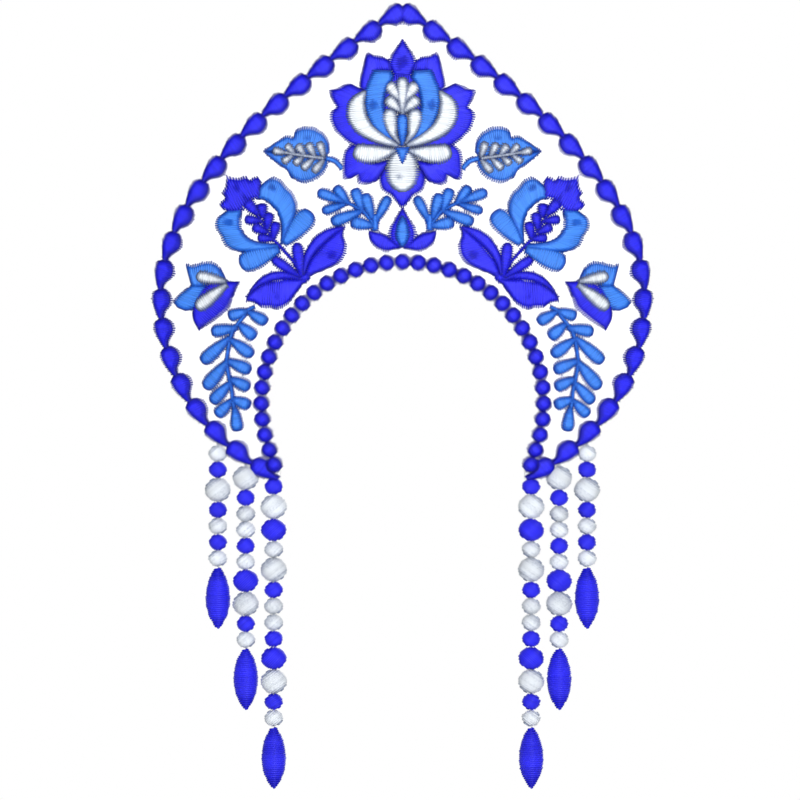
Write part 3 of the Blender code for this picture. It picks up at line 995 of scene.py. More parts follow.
# %% The large flower
flower = Motif("centre_flower")
flower.ladder("royal", 0.0, [
    (-8, 69, 8, 69), (-11, 77, 11, 77), (-14.5, 84, 14.5, 84), (-12.5, 90, 12.5, 90), (-9, 96, 9, 96),
    (-4.5, 102, 4.5, 102), (-0.5, 108.5, 0.5, 108.5),
], knots=[(-3, 84, 6, 20), (3.5, 87, 5, 16), (0, 72, 18, 7)], paired=False)
flower.patch(
    "royal", -0.3,
    [(-14, 75), (14, 75), (19, 60), (21, 46), (19, 32), (4, 34), (0, 28), (-4, 34), (-19, 32), (-21, 46),
     (-19, 60)],
    slant=90,
)
flower.ladder("royal", 0.0, [
    (-9, 76, -13, 87), (-17, 76, -20, 91), (-25, 76, -28.5, 92.5), (-27, 73, -35, 95), (-29, 66, -39, 81),
    (-31, 60, -42, 70), (-32, 53, -42.5, 60),
])
flower.ladder("royal", 0.0, [
    (-33, 56, -43, 59), (-34, 53, -52, 64), (-38, 50, -60, 62.5), (-40, 48, -66, 59), (-42, 45, -73, 57),
    (-44, 42, -70, 49), (-46, 40, -66, 41), (-46, 37, -71, 36), (-46, 32, -72, 29), (-44, 26, -68, 19),
    (-40, 19, -59, 9.5), (-32, 12, -50, 3.5), (-26, 8, -43, 1), (-17, 6, -30, 0.5), (-7, 3, -13, 0),
])
flower.ladder("royal", 0.1, [
    (-32, -2, -51, 4), (-36, -6, -58, -4), (-36, -10, -59.5, -17), (-34, -12, -59, -30),
    (-30, -14, -52, -30.5), (-27, -15, -45.5, -27), (-25, -15, -44, -34.5), (-21, -14, -37, -36.5),
    (-16, -13, -26, -33), (-12, -12, -20, -24),
])
flower.ladder("royal", 0.0, [
    (-11, -17, -20, -23), (-10, -24, -23, -32), (-8, -30, -20, -42), (-5, -35, -11, -47.5),
    (-2, -38, -5, -55), (0, -39, 0, -60), (2, -38, 5, -55), (5, -35, 11, -47.5), (8, -30, 20, -42),
    (10, -24, 23, -32), (11, -17, 20, -23),
], paired=False)
flower.ladder("light", 1.5, [
    (-11, 77, -29, 78.5), (-9, 70, -33, 69), (-14, 62, -37, 59), (-17, 51, -38, 48), (-18, 42, -37, 38),
    (-16, 33, -34, 29), (-15, 24, -30, 21), (-13, 17, -24, 15), (-10, 11, -17, 10), (-4, 5, -8, 6),
], knots=[(-29, 43, 11, 15)])
flower.leaflets("light", 1.7, [(0, 2, 0, 34, 12)], paired=False)
flower.ladder("white", 1.9, [
    (-35, 57, -39, 57), (-36, 50, -48, 52), (-36.5, 43, -53.5, 45.5), (-35.5, 36, -55.5, 35),
    (-33, 29, -53.5, 26), (-29, 23, -48.5, 18), (-23, 17.5, -40, 11), (-16, 12.5, -28, 5.5),
    (-9, 8, -17, 2), (-3, 3, -5, 0),
])
flower.ladder("white", 1.65, [
    (-49, -6, -48, -1), (-46.5, -12, -43, 4), (-38, -15.5, -35, 3.5), (-28, -15.5, -27, 3),
    (-19, -12.5, -19, 2), (-12, -8.5, -12, 0.5), (-5, -3.5, -5, -1),
])
flower.ladder("white", 1.6, [
    (-7, -3, 7, -3), (-13.5, -10, 13.5, -10), (-16, -18, 16, -18), (-16.5, -26, 16.5, -26),
    (-14.5, -34, 14.5, -34), (-9, -40.5, 9, -40.5), (-3, -44, 3, -44),
], knots=[(-1, -29, 8, 10)], paired=False)
flower.ladder("white", 2.0, [
    (-16, 38.5, -9, 39), (-20, 33.5, -5, 33.5), (-20, 27, -4.5, 27), (-17.5, 20, -4.5, 20),
    (-14.5, 14, -5, 14), (-10, 9, -3.5, 9.5), (-4, 3.5, -1.5, 4),
])
flower.ladder("light", 2.4, [
    (-7.5, 1, 7.5, 1), (-6, -5, 6, -5), (-3.5, -11, 3.5, -11), (-0.5, -16.5, 0.5, -16.5),
], paired=False)
flower.leaflets("white", 1.4, [(-1, 46, -14.5, 65, 13), (-1, 36, -16, 50, 13)])
flower.leaflets("white", 1.7, [(0, 33, 0, 70.5, 13)], paired=False)
embroider(flower)

# %% [markdown]
# ### The small bud under it
#
# A royal drop holds a light-blue lens, and two royal leaves lie under it.

# %% The small bud
bud = Motif("centre_bud")
bud.ladder("royal", 0.0, [
    (-33, 16, -33.5, 14), (-26.5, 15, -31.5, 5), (-19.5, 13.5, -24.5, -2), (-13.5, 10, -15.5, -4.5),
    (-7.5, 5, -7.5, -2.5), (-1.5, 0.5, -1.5, -1),
])
bud.ladder("royal", 0.3, [
    (-0.3, 39, 0.3, 39), (-3.5, 34, 3.5, 34), (-8, 27, 8, 27), (-12.5, 19, 12.5, 19), (-14, 12, 14, 12),
    (-12, 5, 12, 5), (-5, -0.5, 5, -0.5),
], paired=False)
bud.ladder("light", 1.9, [
    (-0.5, 31, 0.5, 31), (-4, 26, 4, 26), (-6.5, 19, 6.5, 19), (-7, 12, 7, 12), (-5.5, 6, 5.5, 6),
    (-1, 0, 1, 0),
], paired=False)
embroider(bud)

# %% [markdown]
# ### The heart-shaped leaf
#
# Two light-blue halves meet at the midrib, and a white rib with nine white leaflets lies over them.

# %% The leaf
leaf = Motif("leaf")
leaf.ladder("light", 0.0, [
    (-63, 8, -65, 8), (-56, 8, -56, 14), (-48, 7, -48, 19.5), (-41, 6, -40, 23.5), (-37, 6, -34, 21.5),
    (-32, 5, -32, 28.5), (-26, 4, -25, 32), (-20, 3.5, -16, 32), (-14, 3, -6, 27), (-8, 2, 0.5, 18),
    (-3, 1, 2, 7),
], knots=[(-19, 22, 14, 4)])
leaf.ladder("light", 0.0, [
    (-63, 8, -65, 8), (-56, 7, -56, 0.5), (-48, 6, -48, -6), (-42, 5, -40, -11.5), (-39, 4, -36, -18.5),
    (-31, 3, -25, -23.5), (-25, 2, -16, -22.5), (-18, 1.5, -7, -17), (-11, 1, -1, -9), (-4, 0.5, 0.5, -1),
], knots=[(-23, -11, 14, 4)])
leaf.stem("light", 0.1, [(-2, 1), (3, -0.5), (8, -2.5), (12, -6.5), (15, -10.5)], 5.0)
leaf.stem("white", 1.3, [(-44, 7), (-34, 5), (-24, 3.5), (-14, 2), (-3, 0.5)], 3.4)
leaf.leaflets("white", 1.5, [
    (-41, 6, -54, 9, 8), (-32, 5, -41, 14.5, 8), (-22, 3.5, -30, 14.5, 9), (-12, 2, -19.5, 16, 9),
    (-3, 1, -8, 17, 9), (-34, 4, -44.5, -3.5, 8), (-24, 2, -33, -5.5, 8.5), (-13, 1, -25, -10.5, 9),
    (-3, -0.5, -14, -13.5, 9),
])
embroider(leaf)

# %% [markdown]
# ### The sprig
#
# Eight light-blue leaflets fan out from a short stem and its branch.

# %% The sprig
sprig = Motif("sprig")
sprig.stem("light", -0.1, [(-1.5, -2), (-1.5, 4), (-1.5, 10), (-1.5, 15)], 7.0)
sprig.stem("light", -0.2, [(-3, 4), (-8, 11), (-14, 18), (-27, 25), (-37, 28)], 3.6)
sprig.leaflets("light", 0.15, [
    (-2, 6, 12, 32, 11), (-4, 9, -12, 35, 12.5), (-14, 17, -22, 40, 12.5), (-27, 24, -41, 42.5, 11),
    (-32, 27, -58.5, 37, 12), (-30, 25, -54, 17.5, 10), (-14, 18, -45, 6.5, 13), (-2, 2.5, -25.5, 7, 13.5),
])
embroider(sprig)

# %% [markdown]
# ### The rose
#
# Two long light-blue petals curl round a small royal sprig, a royal crown closes the ring, and two plump
# petals stand outside it.

# %% The rose
rose = Motif("rose")
rose.ladder("light", 0.0, [
    (-39, 37, -52, 36.5), (-40, 30, -62, 30), (-40, 24, -66, 24), (-39, 17, -64, 16.5),
    (-36, 12, -59.5, 10), (-32, 8, -57, 2.5), (-26, 5, -50, -3), (-19, 3.5, -40, -5.5),
    (-12, 2.5, -27, -5.5), (-6, 2, -13, -4), (-1, 1, -2, -1.5),
], knots=[(-52, 24, 11, 11)])
rose.ladder("light", 0.0, [
    (-23.5, 47, -21, 58.5), (-18, 46.5, -15.5, 64.5), (-13, 44, -8, 68.5), (-9, 41, -1, 66.5),
    (-6, 37.5, 5, 59), (-3, 33.5, 11, 54), (-1, 28, 15.5, 44), (0.5, 22, 16, 35), (1, 15, 12, 25),
    (0.5, 8, 6, 12.5), (0, 1, 1.5, 2),
], knots=[(-8, 58, 12, 9)])
rose.leaflets("light", 0.0, [(3, 2, 30, 34, 22), (-1, -3, -41, -18, 22)])
rose.patch(
    "royal", 0.3,
    [(-54, 71), (-48, 69), (-41, 68), (-35, 70), (-31, 66), (-26, 69), (-21, 68), (-19, 62), (-20, 54),
     (-20, 48), (-29, 46), (-34, 41), (-39, 35), (-49, 34), (-57, 37), (-61, 42), (-55, 49), (-59, 54),
     (-55, 59), (-55, 65)],
    slant=118, knots=[(-44, 59, 9, 12), (-36, 50, 8, 8)],
)
rose.leaflets("royal", 0.0, [
    (-22, 31, -35, 45, 12), (-18, 28, -19, 42.5, 11), (-19, 25, -36, 27, 10), (-14, 16, -11.5, 33.5, 11),
    (-13, 13, -28, 20, 10.5), (-8, 7, -4.5, 24, 11), (-7, 7, -23, 8.5, 9.5),
])
rose.stem("royal", 0.0, [(-8, 7), (-11, 12), (-16, 19), (-20, 26), (-24, 32)], 2.2)
rose.stem("royal", 0.0, [(-8, 7), (0, -1), (7, -9), (14, -17), (22, -31)], 2.8)
embroider(rose)

# %% [markdown]
# ### The pair of leaves
#
# Each of the two royal leaves is stitched in two parts that meet in a dark vein. Two leaflets stand
# between them, and a small one closes the foot.

# %% The pair of leaves
pair = Motif("leaf_pair")
pair.ladder("royal", 0.0, [
    (0.5, 1, -1, 4), (2.5, 8, -1, 15), (6, 16, 1, 26), (11, 24, 6, 35.5), (17, 31, 12, 43),
    (24, 37.5, 21, 49), (32, 44, 31, 52), (39, 49.5, 41, 53),
])
pair.ladder("royal", 0.0, [
    (38.5, 51, 41, 52), (31, 45.5, 39, 44), (23, 39, 42, 35), (16, 32.3, 41, 24), (10, 25, 35, 16),
    (5, 17, 23, 10), (1.8, 9, 12, 6), (0, 1, 4, 2),
], knots=[(28, 24, 13, 12)])
pair.ladder("royal", 0.0, [
    (-3, -2, -2, 1), (-12, -0.5, -11, 6), (-22, -1, -21, 8.5), (-32, -2.5, -32, 7.5), (-41, -6, -42, 2.5),
    (-49, -11, -50, -6), (-56, -18, -57.5, -18),
])
pair.ladder("royal", 0.0, [
    (-56, -17, -58, -21.5), (-49, -9.3, -48, -23.5), (-41, -4.3, -42, -27.5), (-32, -0.8, -32, -28.5),
    (-22, 0.7, -24, -29.5), (-15, 0.8, -15, -24), (-8, 0.4, -8, -15), (-1, 0.5, -1, -5), (4, 2, 3.5, -3),
], knots=[(-27, -15, 11, 8)])
pair.leaflets("royal", 0.0, [(-2, 2, -7, 36, 12.5), (-3, 2, -31, 21, 11), (-5, 0, 6, 3, 8)])
embroider(pair)

# %% [markdown]
# ### The side bud
#
# Two light-blue petals and a royal one open to the side, with two white petals between them.

# %% The side bud
side_bud = Motif("bud")
side_bud.ladder("light", 0.0, [
    (-36, -3, -42.5, 20), (-31, -4, -36, 18), (-26, -3.5, -28, 20), (-20, -2, -21, 21.5),
    (-14, -1, -14, 20.5), (-8, 0, -7.5, 15), (-1, 1, -3.5, 7),
])
side_bud.ladder("light", 0.0, [
    (-35, -1, -19, -2), (-43, -6.5, -24, -11), (-50, -12, -28, -19), (-54, -18, -33, -25.5),
    (-50, -24, -42, -27),
])
side_bud.ladder("royal", 0.3, [
    (10, 1, 12.5, 2), (-1, 2, 8, -6.5), (-15, 2, 4.5, -15), (-25, -4, 1, -25), (-31, -14, -9, -33.5),
    (-34.5, -25, -20, -41), (-34, -36, -27.5, -45), (-29, -45, -28.5, -46.5),
])
side_bud.leaflets("white", 1.8, [(0, 1.5, -30, 7.5, 12.5), (1, -1, -30, -25, 14.5)])
embroider(side_bud)

# %% [markdown]
# ### The fern
#
# A light-blue stem winds down with six leaflets on each side and one at its end.

# %% The fern
fern = Motif("fern")
fern.stem(
    "light", -0.2,
    [(27, 53), (20, 49), (15, 42), (10, 36), (5, 29), (2, 19), (0, 8), (-1, 0), (0, -10), (2, -20), (4, -30),
     (5, -40), (7, -50)],
    3.8,
)
fern.leaflets("light", 0.15, [
    (21, 49, 1, 43, 12.5), (20, 48, 39, 37, 12.5), (11, 32, -16, 28, 13), (11, 36, 27.5, 22, 13.5),
    (3, 23, -25.5, -2, 14.5), (2, 21, 25, 4.5, 13.5), (1, 0, -22.5, -28, 15), (-1, 0, 23, -10.5, 13.5),
    (4, -21, -16, -42, 13.5), (2, -18, 22, -27.5, 13), (5, -39, -11, -55, 13), (4, -38, 22.5, -45, 13),
    (7, -46, 10, -70, 13),
])
embroider(fern)

# %% [markdown]
# ## The plate
#
# The plate is stiffened cloth, 3 mm thick, with its edges rolled round. It is made as a section that
# travels: a closed loop across the plate, from the arch's edge to the outer edge, is set at stations from
# one end of the arch to the other. That keeps the grid of faces even. The tree of the stitches bows it too,
# and it passes through as faces, because it has no threads.

# %% Plate of white cloth
PLATE_STATIONS = 150
PLATE_COLUMNS = 14
ROLL_STEPS = 4


def outer_edge(share):
    """The plate's outer edge at a share of its half, from the peak at 0 to the arch's end at 1."""
    point, way = along(OUTER_LINE, OUTER_LENGTH * share)
    edge = point + Vector((way.y, -way.x)) * PLATE_MARGIN
    if edge.x > 0.0:
        edge = Vector((0.0, PLATE_RISE + PLATE_MARGIN / math.cos(PEAK_SLOPE)))
    return edge


def rolled_section(inner, outer):
    """A closed loop from the arch's edge to the outer edge and back, as flat points with their depth."""
    half = PLATE_THICKNESS / 2
    way = (outer - inner).normalized()
    loop = []
    for step in range(PLATE_COLUMNS + 1):
        share = step / PLATE_COLUMNS
        loop.append((inner.lerp(outer, share) - way * half * (2 * share - 1), 0.0))
    for step in range(1, ROLL_STEPS):
        turn = math.pi * step / ROLL_STEPS
        loop.append((outer + way * half * (math.sin(turn) - 1), half * (1 - math.cos(turn))))
    for step in range(PLATE_COLUMNS, -1, -1):
        flat, _ = loop[step]
        loop.append((flat, PLATE_THICKNESS))
    for step in range(1, ROLL_STEPS):
        turn = math.pi * step / ROLL_STEPS
        loop.append((inner - way * half * (math.sin(turn) - 1), half * (1 + math.cos(turn))))
    return loop


def swept(name, sections):
    """A closed mesh through sections with as many points each, its ends capped."""
    solid = bmesh.new()
    rows = [[solid.verts.new(point) for point in section] for section in sections]
    for near, far in zip(rows, rows[1:]):
        for index in range(len(near)):
            after = (index + 1) % len(near)
            solid.faces.new((near[index], near[after], far[after], far[index]))
    solid.faces.new(rows[0])
    solid.faces.new(rows[-1][::-1])
    bmesh.ops.recalc_face_normals(solid, faces=solid.faces[:])
    mesh = bpy.data.meshes.new(name)
    solid.to_mesh(mesh)
    solid.free()
    return mesh


def make_plate():
    sections = []
    for station in range(-PLATE_STATIONS, PLATE_STATIONS + 1):
        share = abs(station) / PLATE_STATIONS
        inner = arch_point(ARCH_SWEEP * share, ARCH_RADIUS - ARCH_LIP)
        loop = rolled_section(inner, outer_edge(share))
        side = 1.0 if station < 0 else -1.0
        sections.append([(flat.x * side, depth, flat.y) for flat, depth in loop])
    mesh = swept("plate", sections)
    piece = grow("cloth_crown_plate", mesh, STITCH_TREE, {"Material": CLOTH})
    piece.data.shade_smooth()
    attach(piece, "root")
    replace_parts(piece, "crown_plate")
    print("The plate has", len(piece.data.polygons), "faces")


make_plate()

# %% [markdown]
# ## The band
#
# Behind the plate a plain band of the same cloth goes round the arch and sits on the head. Its front edge
# follows the plate's bowed back. It is a rounded strip, swept round the arch.

# %% Band of white cloth
BAND_DEPTH = 26.0 * MM
BAND_THICKNESS = 2.0 * MM
BAND_SWEEP = math.radians(106.0)
BAND_STATIONS = 90
BAND_COLUMNS = 8


def bow_depth(x, behind):
    """How far back the bowed plate lies at a place across it, behind its front face."""
    reach = BOW_RADIUS - behind
    turn = math.asin(x / reach)
    return PLATE_FRONT + BOW_RADIUS - reach * math.cos(turn)


def band_section(angle):
    radius = ARCH_RADIUS + BAND_THICKNESS / 2
    middle = arch_point(angle, radius)
    away = Vector((-math.sin(angle), math.cos(angle)))
    front = bow_depth(middle.x, PLATE_THICKNESS) + GAP
    half = BAND_THICKNESS / 2
    loop = []
    for side in (1, -1):
        for step in range(BAND_COLUMNS + 1):
            share = step / BAND_COLUMNS if side > 0 else 1 - step / BAND_COLUMNS
            loop.append((half * side, half + (BAND_DEPTH - BAND_THICKNESS) * share))
        for step in range(1, ROLL_STEPS):
            turn = math.pi * step / ROLL_STEPS
            end = BAND_DEPTH - half if side > 0 else half
            loop.append((half * side * math.cos(turn), end + half * side * math.sin(turn)))
    points = []
    for across, depth in loop:
        flat = middle + away * across
        points.append((flat.x, front + depth, flat.y))
    return points


def make_band():
    steps = 2 * BAND_STATIONS
    mesh = swept("band", [band_section(BAND_SWEEP * (1 - 2 * step / steps)) for step in range(steps + 1)])
    mesh.materials.append(CLOTH)
    mesh.shade_smooth()
    piece = bpy.data.objects.new("cloth_head_band", mesh)
    bpy.context.scene.collection.objects.link(piece)
    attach(piece, "root")
    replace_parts(piece, "head_band")
    print("The band has", len(mesh.polygons), "faces")


make_band()

# %% [markdown]
# ## The tree that winds
#
# A hanging bead is a core with thread wound round it. The guide here is a spindle: a straight line down the
# bead, whose attribute `girth` is the coil's radius at each point. The tree cuts the spindle into even
# short steps and turns each point out to its girth, so the line becomes a close coil, with a little chance
# in every turn.

# %% A coil from a spindle
WIND_PITCH = 1.2 * MM
WIND_STEPS = 20
WIND_RADIUS = 0.66 * MM
WIND_SIDES = 6
WIND_UNEVENNESS = 0.5 * MM


def coiled(tree, given, centre):
    """Where a point of a spindle lands on its coil."""
    passed = add(tree, "GeometryNodeSplineParameter").outputs["Length"]
    turns = maths(tree, "DIVIDE", passed, given["Pitch"])
    turn = maths(tree, "MULTIPLY", turns, 2 * math.pi)
    whole = maths(tree, "FLOOR", turns)
    this_turn = add(tree, "ShaderNodeVectorMath", {0: centre, 1: whole}, operation="ADD")
    chance = add(tree, "ShaderNodeTexWhiteNoise", {"Vector": this_turn.outputs[0]}).outputs["Value"]
    swerve = maths(tree, "MULTIPLY", maths(tree, "SUBTRACT", chance, 0.5), given["Unevenness"])
    girth = maths(tree, "ADD", named(tree, "girth"), swerve)
    away = add(
        tree,
        "ShaderNodeCombineXYZ",
        {
            "X": maths(tree, "MULTIPLY", girth, maths(tree, "SINE", turn)),
            "Y": maths(tree, "MULTIPLY", girth, maths(tree, "COSINE", turn)),
        },
    )
    place = add(tree, "GeometryNodeInputPosition").outputs[0]
    return add(tree, "ShaderNodeVectorMath", {0: place, 1: away.outputs[0]}, operation="ADD").outputs[0]


# %% [markdown]
# Then the tree tilts the coil about the bead's centre and squashes it downwards, so that the turns run
# slanted over a slightly flat bead, and sweeps a thread along it. The cores come in as faces and pass
# through.

# %% Tree for wound beads
def tilted_and_squashed(tree, point, centre):
    tilted = add(
        tree,
        "ShaderNodeVectorRotate",
        {"Vector": point, "Center": centre, "Angle": named(tree, "tilt")},
        rotation_type="Y_AXIS",
    )
    place = add(tree, "ShaderNodeSeparateXYZ", {0: tilted.outputs[0]}).outputs
    middle = add(tree, "ShaderNodeSeparateXYZ", {0: centre}).outputs["Z"]
    below = maths(tree, "MULTIPLY", maths(tree, "SUBTRACT", place["Z"], middle), named(tree, "squash"))
    height = maths(tree, "ADD", middle, below)
    return add(tree, "ShaderNodeCombineXYZ", {"X": place["X"], "Y": place["Y"], "Z": height}).outputs[0]


def winding_tree():
    tree = new_tree(
        "wind_thread",
        [
            ("Thread Radius", "NodeSocketFloat", WIND_RADIUS),
            ("Thread Sides", "NodeSocketInt", WIND_SIDES),
            ("Pitch", "NodeSocketFloat", WIND_PITCH),
            ("Steps a Turn", "NodeSocketFloat", WIND_STEPS),
            ("Unevenness", "NodeSocketFloat", WIND_UNEVENNESS),
            ("Material", "NodeSocketMaterial", None),
        ],
    )
    given = add(tree, "NodeGroupInput").outputs
    spindles, cores = part_guides(tree, given["Geometry"])
    step = maths(tree, "DIVIDE", given["Pitch"], given["Steps a Turn"])
    even = add(tree, "GeometryNodeResampleCurve", {"Curve": spindles, "Length": step}, mode="LENGTH")
    centre = named(tree, "centre", "FLOAT_VECTOR")
    point = tilted_and_squashed(tree, coiled(tree, given, centre), centre)
    coil = add(tree, "GeometryNodeSetPosition", {"Geometry": even.outputs[0], "Position": point})
    end_tree(tree, given, coil.outputs[0], cores)
    return tree


WINDING_TREE = winding_tree()
print("The winding tree has", len(WINDING_TREE.nodes), "nodes")

# %% [markdown]
# ## Spindles
#
# `Winding` collects the spindles and cores of one colour on one string. A core is a turned solid just
# inside its thread, so that nothing shows through between two turns, and its colour is painted shade. The
# thread's attributes are the same that a stitch has, so that one material serves both: its painted shade is
# lightest where the bead is widest and darker towards the bead's ends.

# %% The winding of one string
CORE_SIDES = 14
CORE_INSET = 0.35 * MM
# The core only shows deep between the turns, so its colour is painted shade
CORE_PAINTED_SHADE = 0.3
SPINDLE_STEPS = 16
# Painted shade at a bead's ends, at random in this range, and painted light added by its girth
POLE_SHADE_RANGE = (0.25, 0.45)
GIRTH_PAINTED_LIGHT = 0.55
TONE_SPREAD = 0.5


class Winding:
    """The wound beads of one colour on one string, about a line straight down."""

    LABELS = ("girth", "tilt", "squash", "inside", "tone", "is_thread")

    def __init__(self, x, y, seed):
        self.x, self.y = x, y
        self.random = random.Random(seed)
        self.points, self.edges, self.faces, self.centres = [], [], [], []
        self.values = {label: [] for label in self.LABELS}

    def add_point(self, across, back, z, centre=0.0, **values):
        self.points.append((self.x + across, self.y + back, z))
        self.centres += (self.x, self.y, centre)
        for label in self.LABELS:
            self.values[label].append(values.get(label, 0.0))
        return len(self.points) - 1

    def turned(self, profile, shade):
        """A closed turned solid through rows of height and radius; shade is its place on the painted shade
        ramp of the thread's colour.
        """
        turns = [2 * math.pi * side / CORE_SIDES for side in range(CORE_SIDES)]
        rings = []
        for z, radius in profile:
            ring = [(radius * math.cos(turn), radius * math.sin(turn)) for turn in turns]
            rings.append([self.add_point(across, back, z, inside=shade) for across, back in ring])
        for upper, lower in zip(rings, rings[1:]):
            for i in range(CORE_SIDES):
                after = (i + 1) % CORE_SIDES
                self.faces.append((upper[i], lower[i], lower[after], upper[after]))
        self.faces.append(tuple(rings[0]))
        self.faces.append(tuple(reversed(rings[-1])))

    def wind(self, centre, reach, outline, widest, tilt=0.0, squash=1.0):
        """A spindle through a centre, as far up as down, its girth from outline(share) of the widest."""
        tone = self.random.uniform(-TONE_SPREAD, TONE_SPREAD)
        shares = [0.5 - 0.5 * math.cos(math.pi * step / SPINDLE_STEPS) for step in range(SPINDLE_STEPS + 1)]
        last = None
        for share in shares:
            # The thread's place on the painted shade ramp: darkest at the bead's ends, lightest where it is
            # widest
            painted_light = self.random.uniform(*POLE_SHADE_RANGE) + GIRTH_PAINTED_LIGHT * outline(share)
            shift = self.random.uniform(-TONE_SPREAD, TONE_SPREAD)
            point = self.add_point(
                0.0, 0.0, centre + reach * (1 - 2 * share), centre,
                girth=widest * outline(share), tilt=tilt, squash=squash,
                inside=painted_light, tone=tone + shift, is_thread=1.0,
            )
            if last is not None:
                self.edges.append((last, point))
            last = point
        inner = widest - CORE_INSET
        down = (reach - CORE_INSET) * squash
        core = [(centre + down * (1 - 2 * share), inner * outline(share)) for share in shares[1:-1]]
        self.turned(core, CORE_PAINTED_SHADE)

    def finish(self, name, colour):
        mesh = bpy.data.meshes.new(name)
        mesh.from_pydata(self.points, self.edges, self.faces)
        mesh.attributes.new("centre", "FLOAT_VECTOR", "POINT").data.foreach_set("vector", self.centres)
        for label, values in self.values.items():
            mesh.attributes.new(label, "FLOAT", "POINT").data.foreach_set("value", values)
        piece = grow(name, mesh, WINDING_TREE, {"Thread Radius": WIND_RADIUS, "Material": THREADS[colour]})
        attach(piece, "root")
        print(name, "has", len(piece.data.polygons), "faces")
        return piece


# %% [markdown]
# ## The forms of a bead and a drop
#
# A bead is wound as a ball, a little squarer than a true one, and squashed by the tree. The long drop is
# wound level. Its outline is read from a short table, with a smooth curve through it.

# %% Outlines of beads and drops
BEAD_POWER = 2.15

# The drop's outline: place down it and radius, as shares of its length and half-width
DROP_TABLE = (
    (0.0, 0.20), (0.08, 0.46), (0.22, 0.79), (0.38, 0.96), (0.53, 1.0), (0.68, 0.92), (0.80, 0.72),
    (0.90, 0.44), (1.0, 0.10),
)


def ball_outline(share):
    return (1.0 - abs(2.0 * share - 1.0) ** BEAD_POWER) ** (1.0 / BEAD_POWER)


def drop_outline(share):
    index = max(i for i, row in enumerate(DROP_TABLE[:-1]) if row[0] <= share)
    (x0, y0), (x1, y1) = DROP_TABLE[index], DROP_TABLE[index + 1]
    before = DROP_TABLE[max(index - 1, 0)]
    after = DROP_TABLE[min(index + 2, len(DROP_TABLE) - 1)]
    slope_in = (y1 - before[1]) / (x1 - before[0]) * (x1 - x0)
    slope_out = (after[1] - y0) / (after[0] - x0) * (x1 - x0)
    t = (share - x0) / (x1 - x0)
    return (
        (2 * t**3 - 3 * t**2 + 1) * y0
        + (t**3 - 2 * t**2 + t) * slope_in
        + (-2 * t**3 + 3 * t**2) * y1
        + (t**3 - t**2) * slope_out
    )


widest = max(range(101), key=lambda percent: drop_outline(percent / 100))
print("The drop is widest", widest, "% of its way down")

# %% [markdown]
# ## Strings of beads and their drops
#
# Each string is one white cord with beads wound in white and royal blue. The order of the beads is written
# as letters from the top: small letters are small beads and capitals big ones. A string hangs where the
# construction has it, and its beads are counted up from the lower end, where the drop starts.

# %% Hanging beads
CORD_WIDTH = 1.6 * MM
# The cord takes a place on the thread's painted shade ramp, so it shows a little greyer than the lit white
# thread
CORD_PAINTED_SHADE = 0.75
BEAD_TILT = math.radians(42.0)
TILT_SPREAD = math.radians(7.0)
BEAD_CROWDING = 0.3 * MM

# Letter, width, length and colour
BEADS = {
    "w": (11.8 * MM, 9.8 * MM, "white"),
    "b": (11.4 * MM, 9.8 * MM, "royal"),
    "W": (16.2 * MM, 14.6 * MM, "white"),
    "B": (15.8 * MM, 13.5 * MM, "royal"),
}

# Name, beads from the top, and how much of the cord shows between two beads as a share of its width
STRINGS = (
    ("inner", "bWBwWbwwbBWbw", 0.12),
    ("middle", "WbwwbwBWbw", 0.0),
    ("outer", "wbWbwbw", 0.08),
)


def hang_string(side, name, beads, showing, seed):
    node = f"strand_{side}_{name}"
    low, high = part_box(node)
    x, y = (low.x + high.x) / 2, (low.y + high.y) / 2
    windings = {"white": Winding(x, y, seed), "royal": Winding(x, y, seed + 1)}
    windings["white"].turned([(high.z, CORD_WIDTH / 2), (low.z, CORD_WIDTH / 2)], shade=CORD_PAINTED_SHADE)
    lean = -1.0 if side == "left" else 1.0
    bottom = low.z
    for letter in reversed(beads):
        width, length, colour = BEADS[letter]
        bottom += CORD_WIDTH * showing
        reach = width / 2 - WIND_RADIUS
        squash = (length / 2 + BEAD_CROWDING - WIND_RADIUS) / reach
        winding = windings[colour]
        tilt = lean * (BEAD_TILT + winding.random.uniform(-TILT_SPREAD, TILT_SPREAD))
        winding.wind(bottom + length / 2, reach, ball_outline, reach, tilt, squash)
        bottom += length
    for colour, winding in windings.items():
        piece = winding.finish(f"wound_{node}_{colour}", colour)
        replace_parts(piece, node)
    return x, y


def hang_drop(side, name, x, y, seed):
    """A long drop, level wound, under the string that hangs at x and y."""
    node = f"drop_{side}_{name}"
    low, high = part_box(node)
    reach = (high.z - low.z) / 2 - WIND_RADIUS
    widest = (high.x - low.x) / 2 - WIND_RADIUS
    winding = Winding(x, y, seed)
    winding.wind((high.z + low.z) / 2, reach, drop_outline, widest)
    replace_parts(winding.finish("wound_" + node, "royal"), node)


for index, (name, beads, showing) in enumerate(STRINGS):
    for side in ("left", "right"):
        x, y = hang_string(side, name, beads, showing, seed=30 + 3 * index)
        hang_drop(side, name, x, y, seed=32 + 3 * index)

# %% [markdown]
# ## Light
#
# A large soft lamp stands in front, to the right and above, as the shading of the reference asks, with a
# weaker one on the left and one behind for the back. The world is white where the camera sees it and dimmer
# as a light, so that the threads keep their shading.

# %% Lamps
def soft_lamp(name, place, size, power):
    lamp = bpy.data.lights.new(name, "AREA")
    lamp.shape = "DISK"
    lamp.size = size
    lamp.energy = power
    holder = bpy.data.objects.new(name, lamp)
    holder.location = place
    holder.rotation_mode = "QUATERNION"
    aim = Vector((0.0, 0.0, VIEW_CENTRE.y)) - Vector(place)
    holder.rotation_quaternion = aim.to_track_quat("-Z", "Y")
    bpy.context.scene.collection.objects.link(holder)


soft_lamp("key", (0.5, -2.85, 0.4), 1.0, 78.0)
soft_lamp("fill", (-1.6, -2.0, 0.3), 1.6, 8.0)
soft_lamp("back", (0.6, 2.4, 0.9), 1.6, 30.0)
print("Lamps:", len(bpy.data.lights))

# %% World
WORLD_LIGHT = 0.28
WHITE = (1.0, 1.0, 1.0, 1.0)

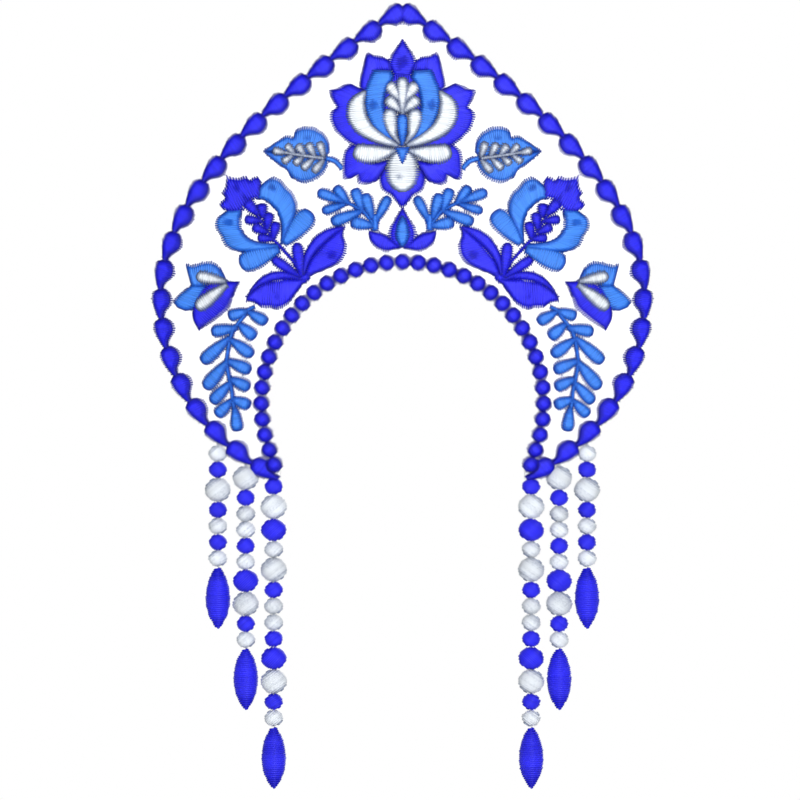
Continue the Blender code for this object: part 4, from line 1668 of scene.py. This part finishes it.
world = bpy.data.worlds.new("studio")
world.use_nodes = True
world.node_tree.nodes.clear()
seen = add(world.node_tree, "ShaderNodeBackground", {"Color": WHITE, "Strength": 1.0})
cast = add(world.node_tree, "ShaderNodeBackground", {"Color": WHITE, "Strength": WORLD_LIGHT})
ray = add(world.node_tree, "ShaderNodeLightPath")
mixed = add(
    world.node_tree,
    "ShaderNodeMixShader",
    {0: ray.outputs["Is Camera Ray"], 1: cast.outputs[0], 2: seen.outputs[0]},
)
add(world.node_tree, "ShaderNodeOutputWorld", {"Surface": mixed.outputs[0]})
bpy.context.scene.world = world
bpy.context.scene.view_settings.view_transform = "Standard"

# %% [markdown]
# ## Floor
#
# The headdress is shown held up, not lying down, so the pale floor is a wide disc well below the strings.

# %% Floor
FLOOR_HEIGHT = -0.6
FLOOR_RADIUS = 4.0

floor_mesh = bpy.data.meshes.new("floor")
floor_form = bmesh.new()
bmesh.ops.create_circle(floor_form, cap_ends=True, segments=96, radius=FLOOR_RADIUS)
bmesh.ops.translate(floor_form, vec=(0.0, 0.0, FLOOR_HEIGHT), verts=floor_form.verts)
floor_form.to_mesh(floor_mesh)
floor_form.free()
floor_material, floor_shader = new_material("floor", roughness=0.9, sheen=0.0, specular=0.1)
floor_shader.inputs["Base Color"].default_value = linear(244, 244, 242)
floor_mesh.materials.append(floor_material)
floor = bpy.data.objects.new("floor", floor_mesh)
bpy.context.scene.collection.objects.link(floor)
print("The floor lies", -FLOOR_HEIGHT, "m below the arch's crown")

# %% [markdown]
# ## Sizes at the end
#
# Thread stands a little proud of the plain solids. The triangles of the finished pieces are counted.

# %% Triangles of the finished piece
def corners(box):
    return [[round(value, 6) for value in corner] for corner in box]


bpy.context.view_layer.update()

dressed = [piece for piece in bpy.data.objects if piece.name.startswith(("satin_", "cloth_", "wound_"))]
triangles = [sum(len(face.vertices) - 2 for face in piece.data.polygons) for piece in dressed]
print(sum(triangles), "triangles in", len(dressed), "pieces, at most", max(triangles), "in one")
